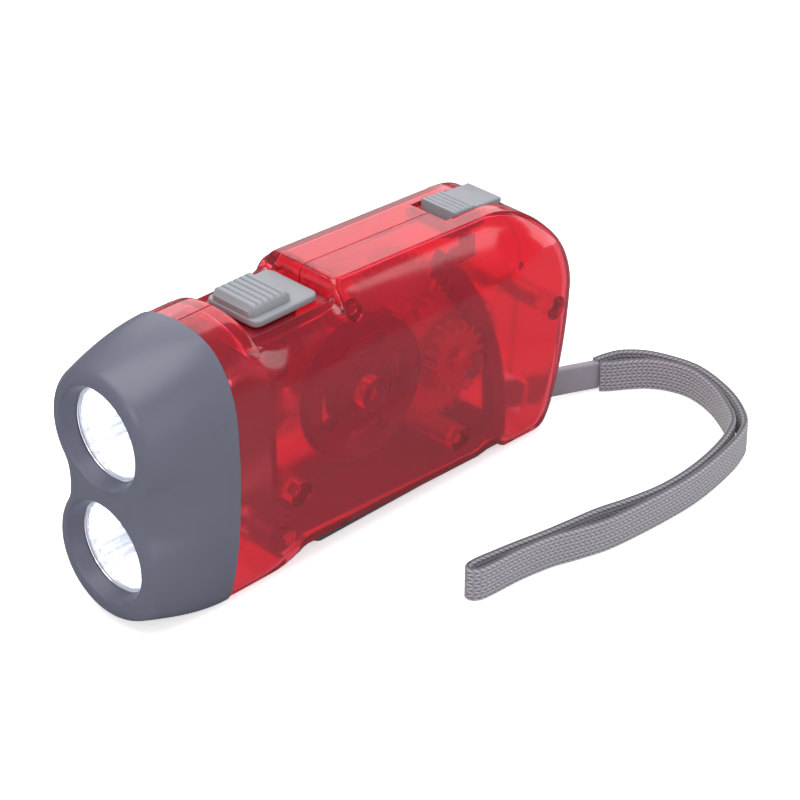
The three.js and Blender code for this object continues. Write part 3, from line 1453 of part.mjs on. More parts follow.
const cellX = frontX + cellFromFront;
const cellWireHeight = cellHeight + cupRadius + seatGap + wireRadius;
const overBoss = middleGear.z + middleBossRadius + 3 * wireRadius;
const halfWay = (overBoss + cellWireHeight) / 2;
const cellWires = [
  { name: "wire_cell_red", material: wireRed, side: 1 },
  { name: "wire_cell_black", material: wireBlack, side: -1 },
];
for (const { name, material, side } of cellWires) {
  const rise = (1 + side) * 2 * wireRadius;
  const points = [
    new THREE.Vector3(boardFace, wallSide, overBoss + rise),
    new THREE.Vector3(flywheelX, wallSide, overBoss + rise),
    new THREE.Vector3(middleGear.x + rise, wallSide, overBoss + rise),
    new THREE.Vector3(driveX + 2 * rise, wallSide - 2 * wireRadius, halfWay + 2 * rise),
    new THREE.Vector3(cellX + side * cellRadius / 2, cellNearSide + cellThickness, cellWireHeight),
  ];
  addPiece(name, tubeAlong(points, wireRadius, wireSides, 2 * wireSteps), material);
}

// Strap tab: a flat sleeve with an eye round the anchor pin, standing on edge and falling a little to its end
function strapTab() {
  const places = [
    [anchorX, 0],
    [frontX + tabBendFromFront, tabBendSide],
    [frontX + tabEndFromFront, tabEndSide],
  ];
  const zs = [tabLow, tabLow + tabHeight];
  const slabs = places.slice(1).map(([x, y], index) => {
    const [fromX, fromY] = places[index];
    const run = new THREE.Vector2(x - fromX, y - fromY);
    const length = run.length();
    const half = tabThickness / 2;
    return box([-half, length + half], [-half, half], zs)
      .rotate([0, 0, run.angle() / degrees])
      .translate([fromX, fromY, 0]);
  });
  const eye = cylinderZ(tabEyeRadius, zs, anchorX, 0);
  const hole = cylinderZ(anchorRadius + seatGap, [zs[0] - overrun, zs[1] + overrun], anchorX, 0, smallSides);
  const flat = joined([eye, ...slabs]).subtract(hole);
  return flat.warp((point) => {
    point[2] -= tabFall * (point[0] - anchorX);
  });
}

addPiece("strap_tab", strapTab(), webbing);

// Strap legs: the two halves of one band, standing on edge on the floor
function strapLeg(places) {
  const middle = strapFloorGap + strapWidth / 2;
  const points = places.map(([fromFront, side]) => new THREE.Vector3(frontX + fromFront, side, middle));
  const path = new THREE.CatmullRomCurve3(points, false, "centripetal");
  const halfWidth = strapWidth / 2;
  const halfThickness = strapThickness / 2;
  const section = shapeOf([
    [-halfWidth, -halfThickness + strapChamfer], [-halfWidth + strapChamfer, -halfThickness],
    [halfWidth - strapChamfer, -halfThickness], [halfWidth, -halfThickness + strapChamfer],
    [halfWidth, halfThickness - strapChamfer], [halfWidth - strapChamfer, halfThickness],
    [-halfWidth + strapChamfer, halfThickness], [-halfWidth, halfThickness - strapChamfer],
  ]);
  const options = { steps: strapSteps, extrudePath: path, bevelEnabled: false };
  return solidOf(new THREE.ExtrudeGeometry(section, options));
}

addPiece("strap_leg_outer", strapLeg(outerLeg), webbing);
addPiece("strap_leg_inner", strapLeg(innerLeg), webbing);

export default torch;
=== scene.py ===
"""Squeeze dynamo torch in a plain studio: clear red casing, grey lamp head, lever, sliders and braided strap.

Sizes are millimetres in the torch's own frame: the lamps face -X, the strap is at +X and the torch stands on
z = 0. A field that says where something lies along the torch is its distance from the lamp face, if nothing
else is said. Finished meshes are brought to metres.
"""

from __future__ import annotations

import json
import logging
import math
from dataclasses import dataclass, field, replace
from enum import Enum

import bmesh
import bpy
from mathutils import Matrix, Vector

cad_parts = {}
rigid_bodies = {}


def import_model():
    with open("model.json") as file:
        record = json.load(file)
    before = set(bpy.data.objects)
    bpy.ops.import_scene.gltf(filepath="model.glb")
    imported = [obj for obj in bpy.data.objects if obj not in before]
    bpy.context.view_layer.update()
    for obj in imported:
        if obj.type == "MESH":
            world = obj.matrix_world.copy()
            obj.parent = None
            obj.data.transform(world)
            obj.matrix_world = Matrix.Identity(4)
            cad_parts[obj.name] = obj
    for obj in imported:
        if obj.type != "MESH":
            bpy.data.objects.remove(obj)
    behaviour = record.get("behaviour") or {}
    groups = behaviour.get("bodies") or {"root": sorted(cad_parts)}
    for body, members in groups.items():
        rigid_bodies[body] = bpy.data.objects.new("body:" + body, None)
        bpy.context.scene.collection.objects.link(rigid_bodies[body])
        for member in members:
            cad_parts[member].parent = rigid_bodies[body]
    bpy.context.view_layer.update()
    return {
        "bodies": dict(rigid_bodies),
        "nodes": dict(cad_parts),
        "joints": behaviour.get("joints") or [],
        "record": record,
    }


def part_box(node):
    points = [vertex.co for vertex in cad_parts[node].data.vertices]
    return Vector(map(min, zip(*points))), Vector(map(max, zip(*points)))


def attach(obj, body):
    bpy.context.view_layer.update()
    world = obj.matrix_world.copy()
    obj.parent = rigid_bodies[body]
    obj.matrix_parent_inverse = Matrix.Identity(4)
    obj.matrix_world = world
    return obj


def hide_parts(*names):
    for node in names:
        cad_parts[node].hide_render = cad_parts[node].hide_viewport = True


LOG = logging.getLogger("torch")
MM = 0.001
OVERALL_LENGTH = 109.6
FRONT_X = -OVERALL_LENGTH / 2
TAIL_X = OVERALL_LENGTH / 2
PARTING_GAP = 0.3
SEAT_GAP = 0.3
OVERRUN = 3.0
STEM_LENGTH = 5.0
STEM_HALF = 1.6
SWITCH_TRAVEL = 3.0
OVERLAP = 1.0
MERGE = 0.001
ROD_SIDES = 32
SPIN_STEPS = 96
RIB_STEPS = 12
SLAB_CORNER = 0.7
PARALLEL = 1e-9
NEARLY = 1e-6
# Sockets of a Mix node that take its two colours, and the one that gives the result
MIX_COLOURS = (6, 7)
MIX_RESULT = 2
# Fields of the casing that are smaller by one wall in its hollow, and its shoulders
ONE_WALL_LESS = (
    "length", "top", "deck_start", "deck", "block_top",
    "tail_low", "tail_radius", "edge_round", "floor_corner",
)
SHOULDERS = ("front_shoulder", "deck_shoulder", "block_shoulder")


class Side(Enum):
    """The two halves of the torch, by the sign of Y."""

    LEFT = -1
    RIGHT = 1


class Join(Enum):
    """How one closed mesh changes another."""

    ADD = "UNION"
    CUT = "DIFFERENCE"


def mixed(start: float, end: float, share: float) -> float:
    """Returns the value that lies at a share of the way from start to end."""
    return start + (end - start) * share


def eased(share: float) -> float:
    """Returns a share between 0 and 1 that starts and ends gently."""
    held = min(1.0, max(0.0, share))
    return held * held * (3 - 2 * held)


def shares(steps: int) -> list[float]:
    """Returns the even shares from 0 to 1 of a number of steps."""
    return [step / steps for step in range(steps + 1)]


def quadratic(start: Vector, control: Vector, end: Vector, steps: int) -> list[Vector]:
    """Samples a curve with one control point.

    Args:
        start: First point.
        control: Point that pulls the curve.
        end: Last point.
        steps: Number of stretches.

    Returns:
        The points from start to end.
    """
    return [start.lerp(control, share).lerp(control.lerp(end, share), share) for share in shares(steps)]


def cubic(start: Vector, first: Vector, second: Vector, end: Vector, share: float) -> Vector:
    """Returns the point at a share of a curve with two control points."""
    a, b, c = start.lerp(first, share), first.lerp(second, share), second.lerp(end, share)
    return a.lerp(b, share).lerp(b.lerp(c, share), share)


def rounded_path(corners: list[tuple[float, float, float]], steps: int) -> list[Vector]:
    """Rounds the corners of an open line.

    Args:
        corners: Points as (across, up, reach), where the rounding starts that far before the corner.
        steps: Number of stretches at each rounded corner.

    Returns:
        The points of the line.
    """
    points = [Vector(corners[0][:2])]
    for index in range(1, len(corners) - 1):
        place = Vector(corners[index][:2])
        reach = corners[index][2]
        before = place + (Vector(corners[index - 1][:2]) - place).normalized() * reach
        after = place + (Vector(corners[index + 1][:2]) - place).normalized() * reach
        points += quadratic(before, place, after, steps)
    points.append(Vector(corners[-1][:2]))
    return points


def divided(points: list[Vector], longest: float) -> list[Vector]:
    """Adds points to a line so that no stretch is longer than a given length.

    Args:
        points: The line.
        longest: Longest stretch that may stay.

    Returns:
        The line with the added points.
    """
    result = [points[0]]
    for start, end in zip(points, points[1:]):
        parts = max(1, math.ceil((end - start).length / longest))
        result += [start.lerp(end, share) for share in shares(parts)[1:]]
    return result


def along(points: list[Vector], share: float) -> Vector:
    """Returns the point at a share of a line's length."""
    lengths = [(end - start).length for start, end in zip(points, points[1:])]
    left = share * sum(lengths)
    for index, length in enumerate(lengths):
        if left <= length:
            return points[index].lerp(points[index + 1], left / length if length else 0)
        left -= length
    return points[-1].copy()


def once_round(right: list[Vector]) -> list[Vector]:
    """Returns an outline's right side with its mirror image, without the two points in the middle again."""
    return right + [Vector((-point.x, point.y)) for point in right[1:-1]][::-1]


def box_mm(node: str) -> tuple[Vector, Vector]:
    """Returns a CAD node's lowest and highest corners in millimetres."""
    low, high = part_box(node)
    return low / MM, high / MM


def axis_of(node: str) -> tuple[float, float, float, float]:
    """Returns the x and z of a CAD node's middle, then its lowest and highest y."""
    low, high = box_mm(node)
    return (low.x + high.x) / 2, (low.z + high.z) / 2, low.y, high.y


class Loft:
    """A skin that grows ring by closed ring, by extruding its open edge."""

    def __init__(self, rings: list[list[Vector]]) -> None:
        """Makes the skin through rings with as many points each."""
        self.mesh = bmesh.new()
        self.ring = [self.mesh.verts.new(point) for point in rings[0]]
        for start, end in zip(self.ring, self.ring[1:] + self.ring[:1]):
            self.mesh.edges.new((start, end))
        self.first = list(self.ring)
        for points in rings[1:]:
            self.grow(points)

    @staticmethod
    def edges_of(ring: list[bmesh.types.BMVert]) -> list[bmesh.types.BMEdge]:
        """Returns the edges that join a ring's points."""
        return [
            next(edge for edge in start.link_edges if edge.other_vert(start) is end)
            for start, end in zip(ring, ring[1:] + ring[:1])
        ]

    def grow(self, points: list[Vector]) -> None:
        """Adds a ring with as many points as the last one."""
        place = {vertex: index for index, vertex in enumerate(self.ring)}
        grown = bmesh.ops.extrude_edge_only(self.mesh, edges=self.edges_of(self.ring))
        ring = [None] * len(self.ring)
        for vertex in (item for item in grown["geom"] if isinstance(item, bmesh.types.BMVert)):
            below = next(
                edge.other_vert(vertex) for edge in vertex.link_edges if edge.other_vert(vertex) in place
            )
            ring[place[below]] = vertex
        for vertex, point in zip(ring, points):
            vertex.co = point
        self.ring = ring

    def capped(self) -> bmesh.types.BMesh:
        """Closes both ends with a face and returns the mesh."""
        for ring in (self.first, self.ring):
            bmesh.ops.contextual_create(self.mesh, geom=self.edges_of(ring))
        return self.mesh


def added(name: str, data: bpy.types.ID) -> bpy.types.Object:
    """Returns a new object of the scene that holds some data."""
    thing = bpy.data.objects.new(name, data)
    bpy.context.scene.collection.objects.link(thing)
    return thing


@dataclass
class Dress:
    """What a finished piece is called, made of, carried by and stands for."""

    name: str
    finish: bpy.types.Material
    body: str
    slot: str
    replaces: tuple[str, ...] = ()
    smooth_angle: float = 35.0

    def make(self, mesh: bmesh.types.BMesh) -> bpy.types.Object:
        """Turns a mesh in millimetres into an object in metres, and frees the mesh."""
        bmesh.ops.remove_doubles(mesh, verts=mesh.verts, dist=MERGE)
        bmesh.ops.dissolve_degenerate(mesh, edges=mesh.edges, dist=MERGE)
        bmesh.ops.recalc_face_normals(mesh, faces=mesh.faces)
        bmesh.ops.scale(mesh, vec=(MM, MM, MM), verts=mesh.verts)
        data = bpy.data.meshes.new(self.name)
        mesh.to_mesh(data)
        mesh.free()
        return added(self.name, data)

    def put(self, piece: bpy.types.Object) -> None:
        """Gives a piece its shading, finish and body, and hides the frame nodes it replaces."""
        piece.data.shade_smooth()
        piece.data.set_sharp_from_angle(angle=math.radians(self.smooth_angle))
        coat(piece, self.finish)
        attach(piece, self.body)
        if self.replaces:
            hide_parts(*self.replaces)
        LOG.info("%s: %d faces on %s", piece.name, len(piece.data.polygons), self.body)


def coat(piece: bpy.types.Object, finish: bpy.types.Material) -> None:
    """Makes a finish a piece's only one."""
    piece.data.materials.clear()
    piece.data.materials.append(finish)


def settle(piece: bpy.types.Object) -> None:
    """Writes a piece's modifiers into its mesh."""
    graph = bpy.context.evaluated_depsgraph_get()
    data = bpy.data.meshes.new_from_object(piece.evaluated_get(graph))
    piece.modifiers.clear()
    spare = piece.data
    piece.data = data
    bpy.data.meshes.remove(spare)


def combine(piece: bpy.types.Object, name: str, mesh: bmesh.types.BMesh, join: Join) -> None:
    """Joins a closed mesh to a piece or cuts it out.

    Args:
        piece: The piece that changes.
        name: What the mesh is called while it is used.
        mesh: The mesh in millimetres, which is freed.
        join: Whether the mesh is added or cut.
    """
    tool = Dress(name, None, "", "").make(mesh)
    modifier = piece.modifiers.new(join.name, "BOOLEAN")
    modifier.operation = join.value
    modifier.solver = "MANIFOLD"
    modifier.object = tool
    bpy.context.view_layer.update()
    settle(piece)
    bpy.data.objects.remove(tool)


def blocks(corners: list[tuple[tuple, tuple]]) -> bmesh.types.BMesh:
    """Returns boxes, each given by its lowest and its highest corner, as one mesh."""
    mesh = bmesh.new()
    for low, high in corners:
        low, high = Vector(low), Vector(high)
        made = bmesh.ops.create_cube(mesh, size=1)["verts"]
        bmesh.ops.scale(mesh, vec=high - low, verts=made)
        bmesh.ops.translate(mesh, vec=(low + high) / 2, verts=made)
    return mesh


def rods(bars: list[tuple[float, float, float, float, float]]) -> bmesh.types.BMesh:
    """Returns closed round bars along Y, each as (radius, x, z, one end's y, the other's y), as one mesh."""
    mesh = bmesh.new()
    for radius, x, z, first_y, last_y in bars:
        first, last = Vector((x, first_y, z)), Vector((x, last_y, z))
        depth = abs(last.y - first.y)
        made = bmesh.ops.create_cone(
            mesh, cap_ends=True, segments=ROD_SIDES, radius1=radius, radius2=radius, depth=depth
        )["verts"]
        bmesh.ops.rotate(mesh, matrix=Matrix.Rotation(math.pi / 2, 3, "X"), verts=made)
        bmesh.ops.translate(mesh, vec=(first + last) / 2, verts=made)
    return mesh


class Value:
    """A number in a material that can be used in sums."""

    def __init__(self, tree: bpy.types.NodeTree, socket: bpy.types.NodeSocket) -> None:
        """Wraps a socket of a node tree."""
        self.tree = tree
        self.socket = socket

    def maths(self, operation: str, other: "Value | float" = 0.0, swapped: bool = False) -> "Value":
        """Adds a Math node.

        Args:
            operation: The node's operation.
            other: The second number.
            swapped: Whether the second number comes first.

        Returns:
            The node's result.
        """
        node = self.tree.nodes.new("ShaderNodeMath")
        node.operation = operation
        for socket, value in zip(node.inputs, (other, self) if swapped else (self, other)):
            feed(self.tree, socket, value)
        return Value(self.tree, node.outputs[0])

    def __add__(self, other: "Value | float") -> "Value":
        """Returns the sum."""
        return self.maths("ADD", other)

    def __sub__(self, other: "Value | float") -> "Value":
        """Returns the difference."""
        return self.maths("SUBTRACT", other)

    def __rsub__(self, other: float) -> "Value":
        """Returns the difference, the other way round."""
        return self.maths("SUBTRACT", other, swapped=True)

    def __mul__(self, other: "Value | float") -> "Value":
        """Returns the product."""
        return self.maths("MULTIPLY", other)

    def __truediv__(self, other: "Value | float") -> "Value":
        """Returns the quotient."""
        return self.maths("DIVIDE", other)

    __radd__ = __add__
    __rmul__ = __mul__


def feed(tree: bpy.types.NodeTree, socket: bpy.types.NodeSocket, value: float | tuple | Value) -> None:
    """Sets a socket to a plain value or links it."""
    if isinstance(value, Value):
        tree.links.new(value.socket, socket)
    else:
        socket.default_value = value


@dataclass(frozen=True)
class Grain:
    """How fine, strong and high the bumps of a surface are."""

    per_metre: float
    strength: float
    height: float
    detail: float = 1.0


class Finish:
    """A material whose nodes are added one by one."""

    def __init__(self, name: str, base: tuple[float, float, float], rough: float, metal: float = 0.0) -> None:
        """Makes the material.

        Args:
            name: The material's name.
            base: Its plain colour.
            rough: Its roughness.
            metal: 1 for a metal.
        """
        self.material = bpy.data.materials.new(name)
        self.material.use_nodes = True
        self.tree = self.material.node_tree
        self.shader = self.tree.nodes["Principled BSDF"]
        self.set("Base Color", (*base, 1.0))
        self.set("Roughness", rough)
        self.set("Metallic", metal)

    def set(self, name: str, value: float | tuple | Value) -> None:
        """Sets or links one of the shader's sockets."""
        feed(self.tree, self.shader.inputs[name], value)

    def node(
        self, kind: str, settings: dict | None = None, inputs: dict | None = None, output: int | str = 0
    ) -> Value:
        """Adds a node.

        Args:
            kind: The node's type.
            settings: Values of the node itself.
            inputs: Values or links of its sockets.
            output: The socket that is returned.

        Returns:
            The node's output.
        """
        node = self.tree.nodes.new(kind)
        for name, value in (settings or {}).items():
            setattr(node, name, value)
        for name, value in (inputs or {}).items():
            feed(self.tree, node.inputs[name], value)
        return Value(self.tree, node.outputs[output])

    def noise(self, per_metre: float, detail: float = 3.0) -> Value:
        """Returns a soft noise between 0 and 1 over the object's own places."""
        place = self.node("ShaderNodeTexCoord", output="Object")
        return self.node("ShaderNodeTexNoise", inputs={"Vector": place, "Scale": per_metre, "Detail": detail})

    def bump(self, height: Value, strength: float, distance: float) -> None:
        """Lets a height raise the surface."""
        inputs = {"Height": height, "Strength": strength, "Distance": distance}
        self.set("Normal", self.node("ShaderNodeBump", inputs=inputs))

    def grain(self, grain: Grain) -> None:
        """Gives the surface an even grain."""
        self.bump(self.noise(grain.per_metre, grain.detail), grain.strength, grain.height)

    def tint(self, share: Value, dark: tuple[float, float, float], light: tuple[float, float, float]) -> None:
        """Lets a share choose between two colours."""
        inputs = {"Factor": share, MIX_COLOURS[0]: (*dark, 1.0), MIX_COLOURS[1]: (*light, 1.0)}
        colour = self.node("ShaderNodeMix", {"data_type": "RGBA"}, inputs, MIX_RESULT)
        self.set("Base Color", colour)

    def uneven(self, rough: float, spread: float, per_metre: float) -> None:
        """Lets the roughness wander round a level, by a spread to either side."""
        self.set("Roughness", rough - spread + 2 * spread * self.noise(per_metre))


@dataclass(frozen=True)
class Moulded:
    """Plain moulded plastic with a fine grain and slight unevenness."""

    name: str
    base: tuple[float, float, float]
    rough: float = 0.42
    strength: float = 0.15
    spread: float = 0.05
    spread_per_metre: float = 400.0
    cloud_per_metre: float = 90.0
    dark: float = 0.93
    light: float = 1.07

    def make(self) -> bpy.types.Material:
        """Returns the material."""
        finish = Finish(self.name, self.base, self.rough)
        dark, light = (tuple(min(1.0, tone * part) for part in self.base) for tone in (self.dark, self.light))
        finish.tint(finish.noise(self.cloud_per_metre), dark, light)
        finish.uneven(self.rough, self.spread, self.spread_per_metre)
        finish.grain(Grain(5200.0, self.strength, 0.00004, 2.0))
        return finish.material


@dataclass(frozen=True)
class ClearRed:
    """See-through red plastic, polished outside and slightly hazy."""

    name: str = "clear_red_plastic"
    base: tuple[float, float, float] = (1.0, 0.085, 0.14)
    rough: float = 0.12
    through: float = 0.87
    index: float = 1.49
    coat: float = 0.5
    coat_rough: float = 0.1
    coat_index: float = 1.5
    spread: float = 0.03
    spread_per_metre: float = 120.0
    grain: Grain = Grain(60.0, 0.12, 0.0006)

    def make(self) -> bpy.types.Material:
        """Returns the material."""
        finish = Finish(self.name, self.base, self.rough)
        finish.set("Transmission Weight", self.through)
        finish.set("IOR", self.index)
        finish.set("Coat Weight", self.coat)
        finish.set("Coat Roughness", self.coat_rough)
        finish.set("Coat IOR", self.coat_index)
        finish.uneven(self.rough, self.spread, self.spread_per_metre)
        finish.grain(self.grain)
        return finish.material


@dataclass(frozen=True)
class Metal:
    """Plain metal with faint scratches."""

    name: str
    base: tuple[float, float, float]
    rough: float = 0.28
    spread: float = 0.08
    spread_per_metre: float = 900.0
    grain: Grain = Grain(3000.0, 0.08, 0.00003)

    def make(self) -> bpy.types.Material:
        """Returns the material."""
        finish = Finish(self.name, self.base, self.rough, 1.0)
        finish.uneven(self.rough, self.spread, self.spread_per_metre)
        finish.grain(self.grain)
        return finish.material


@dataclass(frozen=True)
class Braid:
    """Flat braided cord: rows of slanting stitches that turn over from row to row, with painted shade in the
    grooves.
    """

    name: str = "grey_braid"
    # Colour deep in the grooves between the stitches, which is painted shade.
    dark: tuple[float, float, float] = (0.08, 0.074, 0.09)
    light: tuple[float, float, float] = (0.5, 0.475, 0.53)
    rough: float = 0.85
    rows: float = 9.0
    stitch: float = 0.0011
    crown_power: float = 0.7
    fibre_per_metre: float = 2600.0
    fibre_detail: float = 4.0
    fibre_height: float = 0.25
    plain_tone: float = 0.7
    fibre_tone: float = 0.45
    strength: float = 0.9
    height: float = 0.00018
    sheen: float = 0.35
    sheen_rough: float = 0.5

    def make(self) -> bpy.types.Material:
        """Returns the material, which reads the piece's weave attribute: (run, height share, 0)."""
        finish = Finish(self.name, self.light, self.rough)
        weave = finish.node("ShaderNodeAttribute", {"attribute_name": "weave"}, output="Vector")
        run, up = (finish.node("ShaderNodeSeparateXYZ", inputs={0: weave}, output=axis) for axis in "XY")
        row = up * self.rows
        in_row = row.maths("FRACT")
        turn = row.maths("FLOOR").maths("MODULO", 2.0) * 2.0 - 1.0
        slant = run / self.stitch + turn * (in_row - 0.5)
        across = (in_row - 0.5).maths("ABSOLUTE") * 2.0
        wave = (slant.maths("FRACT") - 0.5).maths("ABSOLUTE") * 2.0
        crown = (1.0 - across * across) * (1.0 - wave * wave)
        stitch_height_and_shade = crown.maths("POWER", self.crown_power)
        fibre = finish.noise(self.fibre_per_metre, self.fibre_detail)
        # The crowns of the stitches are light and the grooves between them take painted shade; the fibre
        # noise varies the tone.
        finish.tint(stitch_height_and_shade * (self.plain_tone + self.fibre_tone * fibre), self.dark, self.light)
        finish.bump(stitch_height_and_shade + self.fibre_height * fibre, self.strength, self.height)
        finish.set("Sheen Weight", self.sheen)
        finish.set("Sheen Roughness", self.sheen_rough)
        return finish.material


@dataclass(frozen=True)
class Glow:
    """A surface that gives light of its own: a lit lamp, or a mirror with a painted glow for the light it
    reflects.
    """

    name: str
    base: tuple[float, float, float]
    rough: float
    metal: float
    shine: tuple[float, float, float]
    strength: float
    grain: Grain = Grain(700.0, 0.1, 0.0001)

    def make(self) -> bpy.types.Material:
        """Returns the material."""
        finish = Finish(self.name, self.base, self.rough, self.metal)
        finish.set("Emission Color", (*self.shine, 1.0))
        finish.set("Emission Strength", self.strength)
        finish.grain(self.grain)
        return finish.material


@dataclass(frozen=True)
class Lens:
    """Clear colourless plastic."""

    name: str = "clear_lens"
    base: tuple[float, float, float] = (0.96, 0.97, 1.0)
    rough: float = 0.03
    index: float = 1.45
    grain: Grain = Grain(300.0, 0.05, 0.0001)

    def make(self) -> bpy.types.Material:
        """Returns the material."""
        finish = Finish(self.name, self.base, self.rough)
        finish.set("Transmission Weight", 1.0)
        finish.set("IOR", self.index)
        finish.grain(self.grain)
        return finish.material


@dataclass(frozen=True)
class Shoulder:
    """Upper part of the casing's section: near-flat crown, corner and the height where the side starts."""

    flat_half: float
    crown: float
    corner_half: float
    corner_drop: float
    foot: float
    bead: float = 0.0


@dataclass
class Casing:
    """The two clear shells, with the bosses and posts inside them."""

    finish: bpy.types.Material
    start_from_front: float = 19.9
    length: float = OVERALL_LENGTH
    parting: float = PARTING_GAP / 2
    floor: float = 0.0
    draft: float = 0.6
    wall: float = 1.8
    top: float = 55.2
    deck_start: float = 28.9
    deck_end: float = 49.3
    deck: float = 50.5
    block_top: float = 54.8
    block_slope: float = 0.044
    front_edge: float = 0.8
    deck_foot: float = 0.5
    block_edge: float = 1.5
    crease_lead: float = 3.0
    crease_lag: float = 6.5
    bump_end: float = 29.0
    edge_turn: float = 33.5
    edge_start: float = 38.6
    edge_front: float = 4.5
    edge_end: float = 86.0
    edge_rear: float = 2.2
    notch: float = 91.0
    notch_height: float = 3.4
    heel_start: float = 97.0
    heel_end: float = 101.5
    tail_low: float = 107.6
    tail_low_height: float = 8.0
    tail_radius: float = 19.2
    tail_height: float = 33.9
    edge_round: float = 4.6
    cut_round: float = 0.8
    floor_flat: float = 8.6
    floor_corner: float = 11.2
    side_low: tuple[float, float] = (12.4, 4.2)
    side_bulges: tuple[tuple[float, float], tuple[float, float]] = ((14.8, 12.0), (16.3, 28.0))
    side_top: tuple[float, float] = (15.2, 41.0)
    front_shoulder: Shoulder = Shoulder(3.5, 0.35, 13.2, 0.85, 41.5)
    deck_shoulder: Shoulder = Shoulder(9.4, 0.0, 13.3, 2.6, 41.5, 0.65)
    lip: tuple[tuple[float, float], ...] = (
        (-1.55, 0.0), (-1.2, 0.5), (-0.85, 0.92), (-0.5, 1.0), (-0.2, 0.7),
    )
    lip_lead: float = 0.4
    block_shoulder: Shoulder = Shoulder(8.0, 0.1, 12.4, 3.4, 41.0)
    bosses: dict[str, float] = field(default_factory=lambda: {
        "flywheel_axle": 3.3, "drive_axle": 2.8, "middle_axle": 2.3,
    })
    posts: dict[str, float] = field(default_factory=lambda: {
        "screw_front": 2.5, "screw_lower": 2.5, "screw_rear": 2.5, "screw_upper": 1.9,
    })
    bite: float = 1.2
    bore: float = 1.25
    head_bore: float = 2.5
    head_thickness: float = 1.4
    cup_radius: float = 3.4
    shoulder_lean: float = 2.6
    lever_slot_start: float = 34.4
    lever_slot_top: float = 6.4
    lever_room: tuple[float, float] = (0.9, 0.5)
    lock_slot: tuple[float, float] = (83.2, 99.3)
    lock_slot_half: float = 4.7
    lock_slot_low: float = 47.0
    tab_slot_start: float = 98.3
    tab_slot_sides: tuple[float, float] = (-4.6, 2.7)
    tab_slot_heights: tuple[float, float] = (1.2, 8.4)
    corner_ease: float = 0.35
    fade_rate: float = 1.5
    tail_rate: float = 1.4
    run_share: float = 0.02
    halvings: int = 24
    edge_steps: int = 6
    floor_steps: tuple[int, int, int, int] = (10, 6, 8, 12)
    flat_steps: int = 5
    corner_steps: int = 14
    side_steps: int = 12
    tail_steps: int = 30
    longest_step: float = 1.6

    def half_width(self, height: float) -> float:
        """Returns the side wall's distance from the middle at a height."""
        start, end = Vector(self.side_low), Vector(self.side_top)
        first, second = (Vector(point) for point in self.side_bulges)
        if height <= start.y:
            return start.x
        if height >= end.y:
            return end.x
        low, high = 0.0, 1.0
        for _ in range(self.halvings):
            share = (low + high) / 2
            point = cubic(start, first, second, end, share)
            if point.y < height:
                low = share
            else:
                high = share
        return point.x

    def block_at(self, from_front: float) -> float:
        """Returns the rear block's height."""
        return self.block_top - self.block_slope * (from_front - self.deck_end)

    def top_line(self) -> list[Vector]:
        """Returns the top outline from the front to where the tail's arc starts."""
        arc_start = self.length - self.tail_radius
        corners = [
            (self.start_from_front, self.top, 0.0),
            (self.deck_start - self.draft, self.top, self.front_edge),
            (self.deck_start, self.deck, self.deck_foot),
            (self.deck_end, self.deck, self.block_edge),
            (self.deck_end + self.draft, self.block_top, self.block_edge),
            (arc_start, self.block_at(arc_start), 0.0),
        ]
        return divided(rounded_path(corners, self.edge_steps), self.longest_step)

    def floor_line(self) -> list[Vector]:
        """Returns the lower outline from the front to the tail's end."""
        base = self.floor
        start = Vector((self.edge_start, base + self.edge_front))
        turn = [Vector((self.bump_end, base)), Vector((self.edge_turn, base)), start]
        edge_end = Vector((self.edge_end, base + self.edge_rear))
        notch = Vector((self.notch, base + self.notch_height))
        heel = Vector((self.heel_start, base))
        toe = Vector((self.heel_end, base))
        low = Vector((self.tail_low, self.tail_low_height))
        turn_steps, notch_steps, heel_steps, toe_steps = self.floor_steps
        points = [Vector((self.start_from_front, base)), *quadratic(*turn, turn_steps)]
        points += quadratic(edge_end, Vector(((edge_end.x + notch.x) / 2, notch.y)), notch, notch_steps)
        points += quadratic(notch, Vector(((notch.x + heel.x) / 2, base)), heel, heel_steps)[1:]
        points += quadratic(toe, Vector((low.x, base)), low, toe_steps)
        points.append(Vector((self.length, self.tail_height)))
        return points

    def floor_at(self, from_front: float) -> float:
        """Returns the lower outline's height ahead of the tail."""
        line = self.floor_line()
        for start, end in zip(line, line[1:]):
            if start.x <= from_front <= end.x:
                share = (from_front - start.x) / (end.x - start.x) if end.x > start.x else 0
                return mixed(start.y, end.y, share)
        return self.floor

    def floor_corner_points(self, place: Vector, inward: Vector, share: float) -> list[Vector]:
        """Returns the section's points from the parting line round the lower corner.

        Args:
            place: Point of the lower outline.
            inward: Direction into the casing there.
            share: 0 along the floor and 1 round the tail.

        Returns:
            Points as (from front, across, up).
        """
        width = self.half_width((place + inward * self.edge_round).y)
        plain = self.corner_line(width - self.edge_round, width, Vector((width, self.edge_round)))
        round_tail = [self.lifted(place, inward, point) for point in plain]
        kept = self.corner_line(self.floor_flat, self.floor_corner, Vector(self.side_low))
        rounding = self.cut_round * min(1.0, max(0.0, place.y) / 2)
        along_floor = []
        for point in kept:
            over = point.y - place.y
            height = (point.y + place.y + math.sqrt(over * over + rounding * rounding)) / 2
            along_floor.append(Vector((place.x, point.x, height)))
        along_floor[-1].y = self.half_width(along_floor[-1].z)
        return [start.lerp(end, share) for start, end in zip(along_floor, round_tail)]

    def corner_line(self, flat: float, corner: float, foot: Vector) -> list[Vector]:
        """Returns (across, up) points from the parting line along a level floor and round its corner."""
        flats = [Vector((across, 0)) for across in self.across_places(flat)]
        return flats + quadratic(Vector((flat, 0)), Vector((corner, 0)), foot, self.corner_steps)

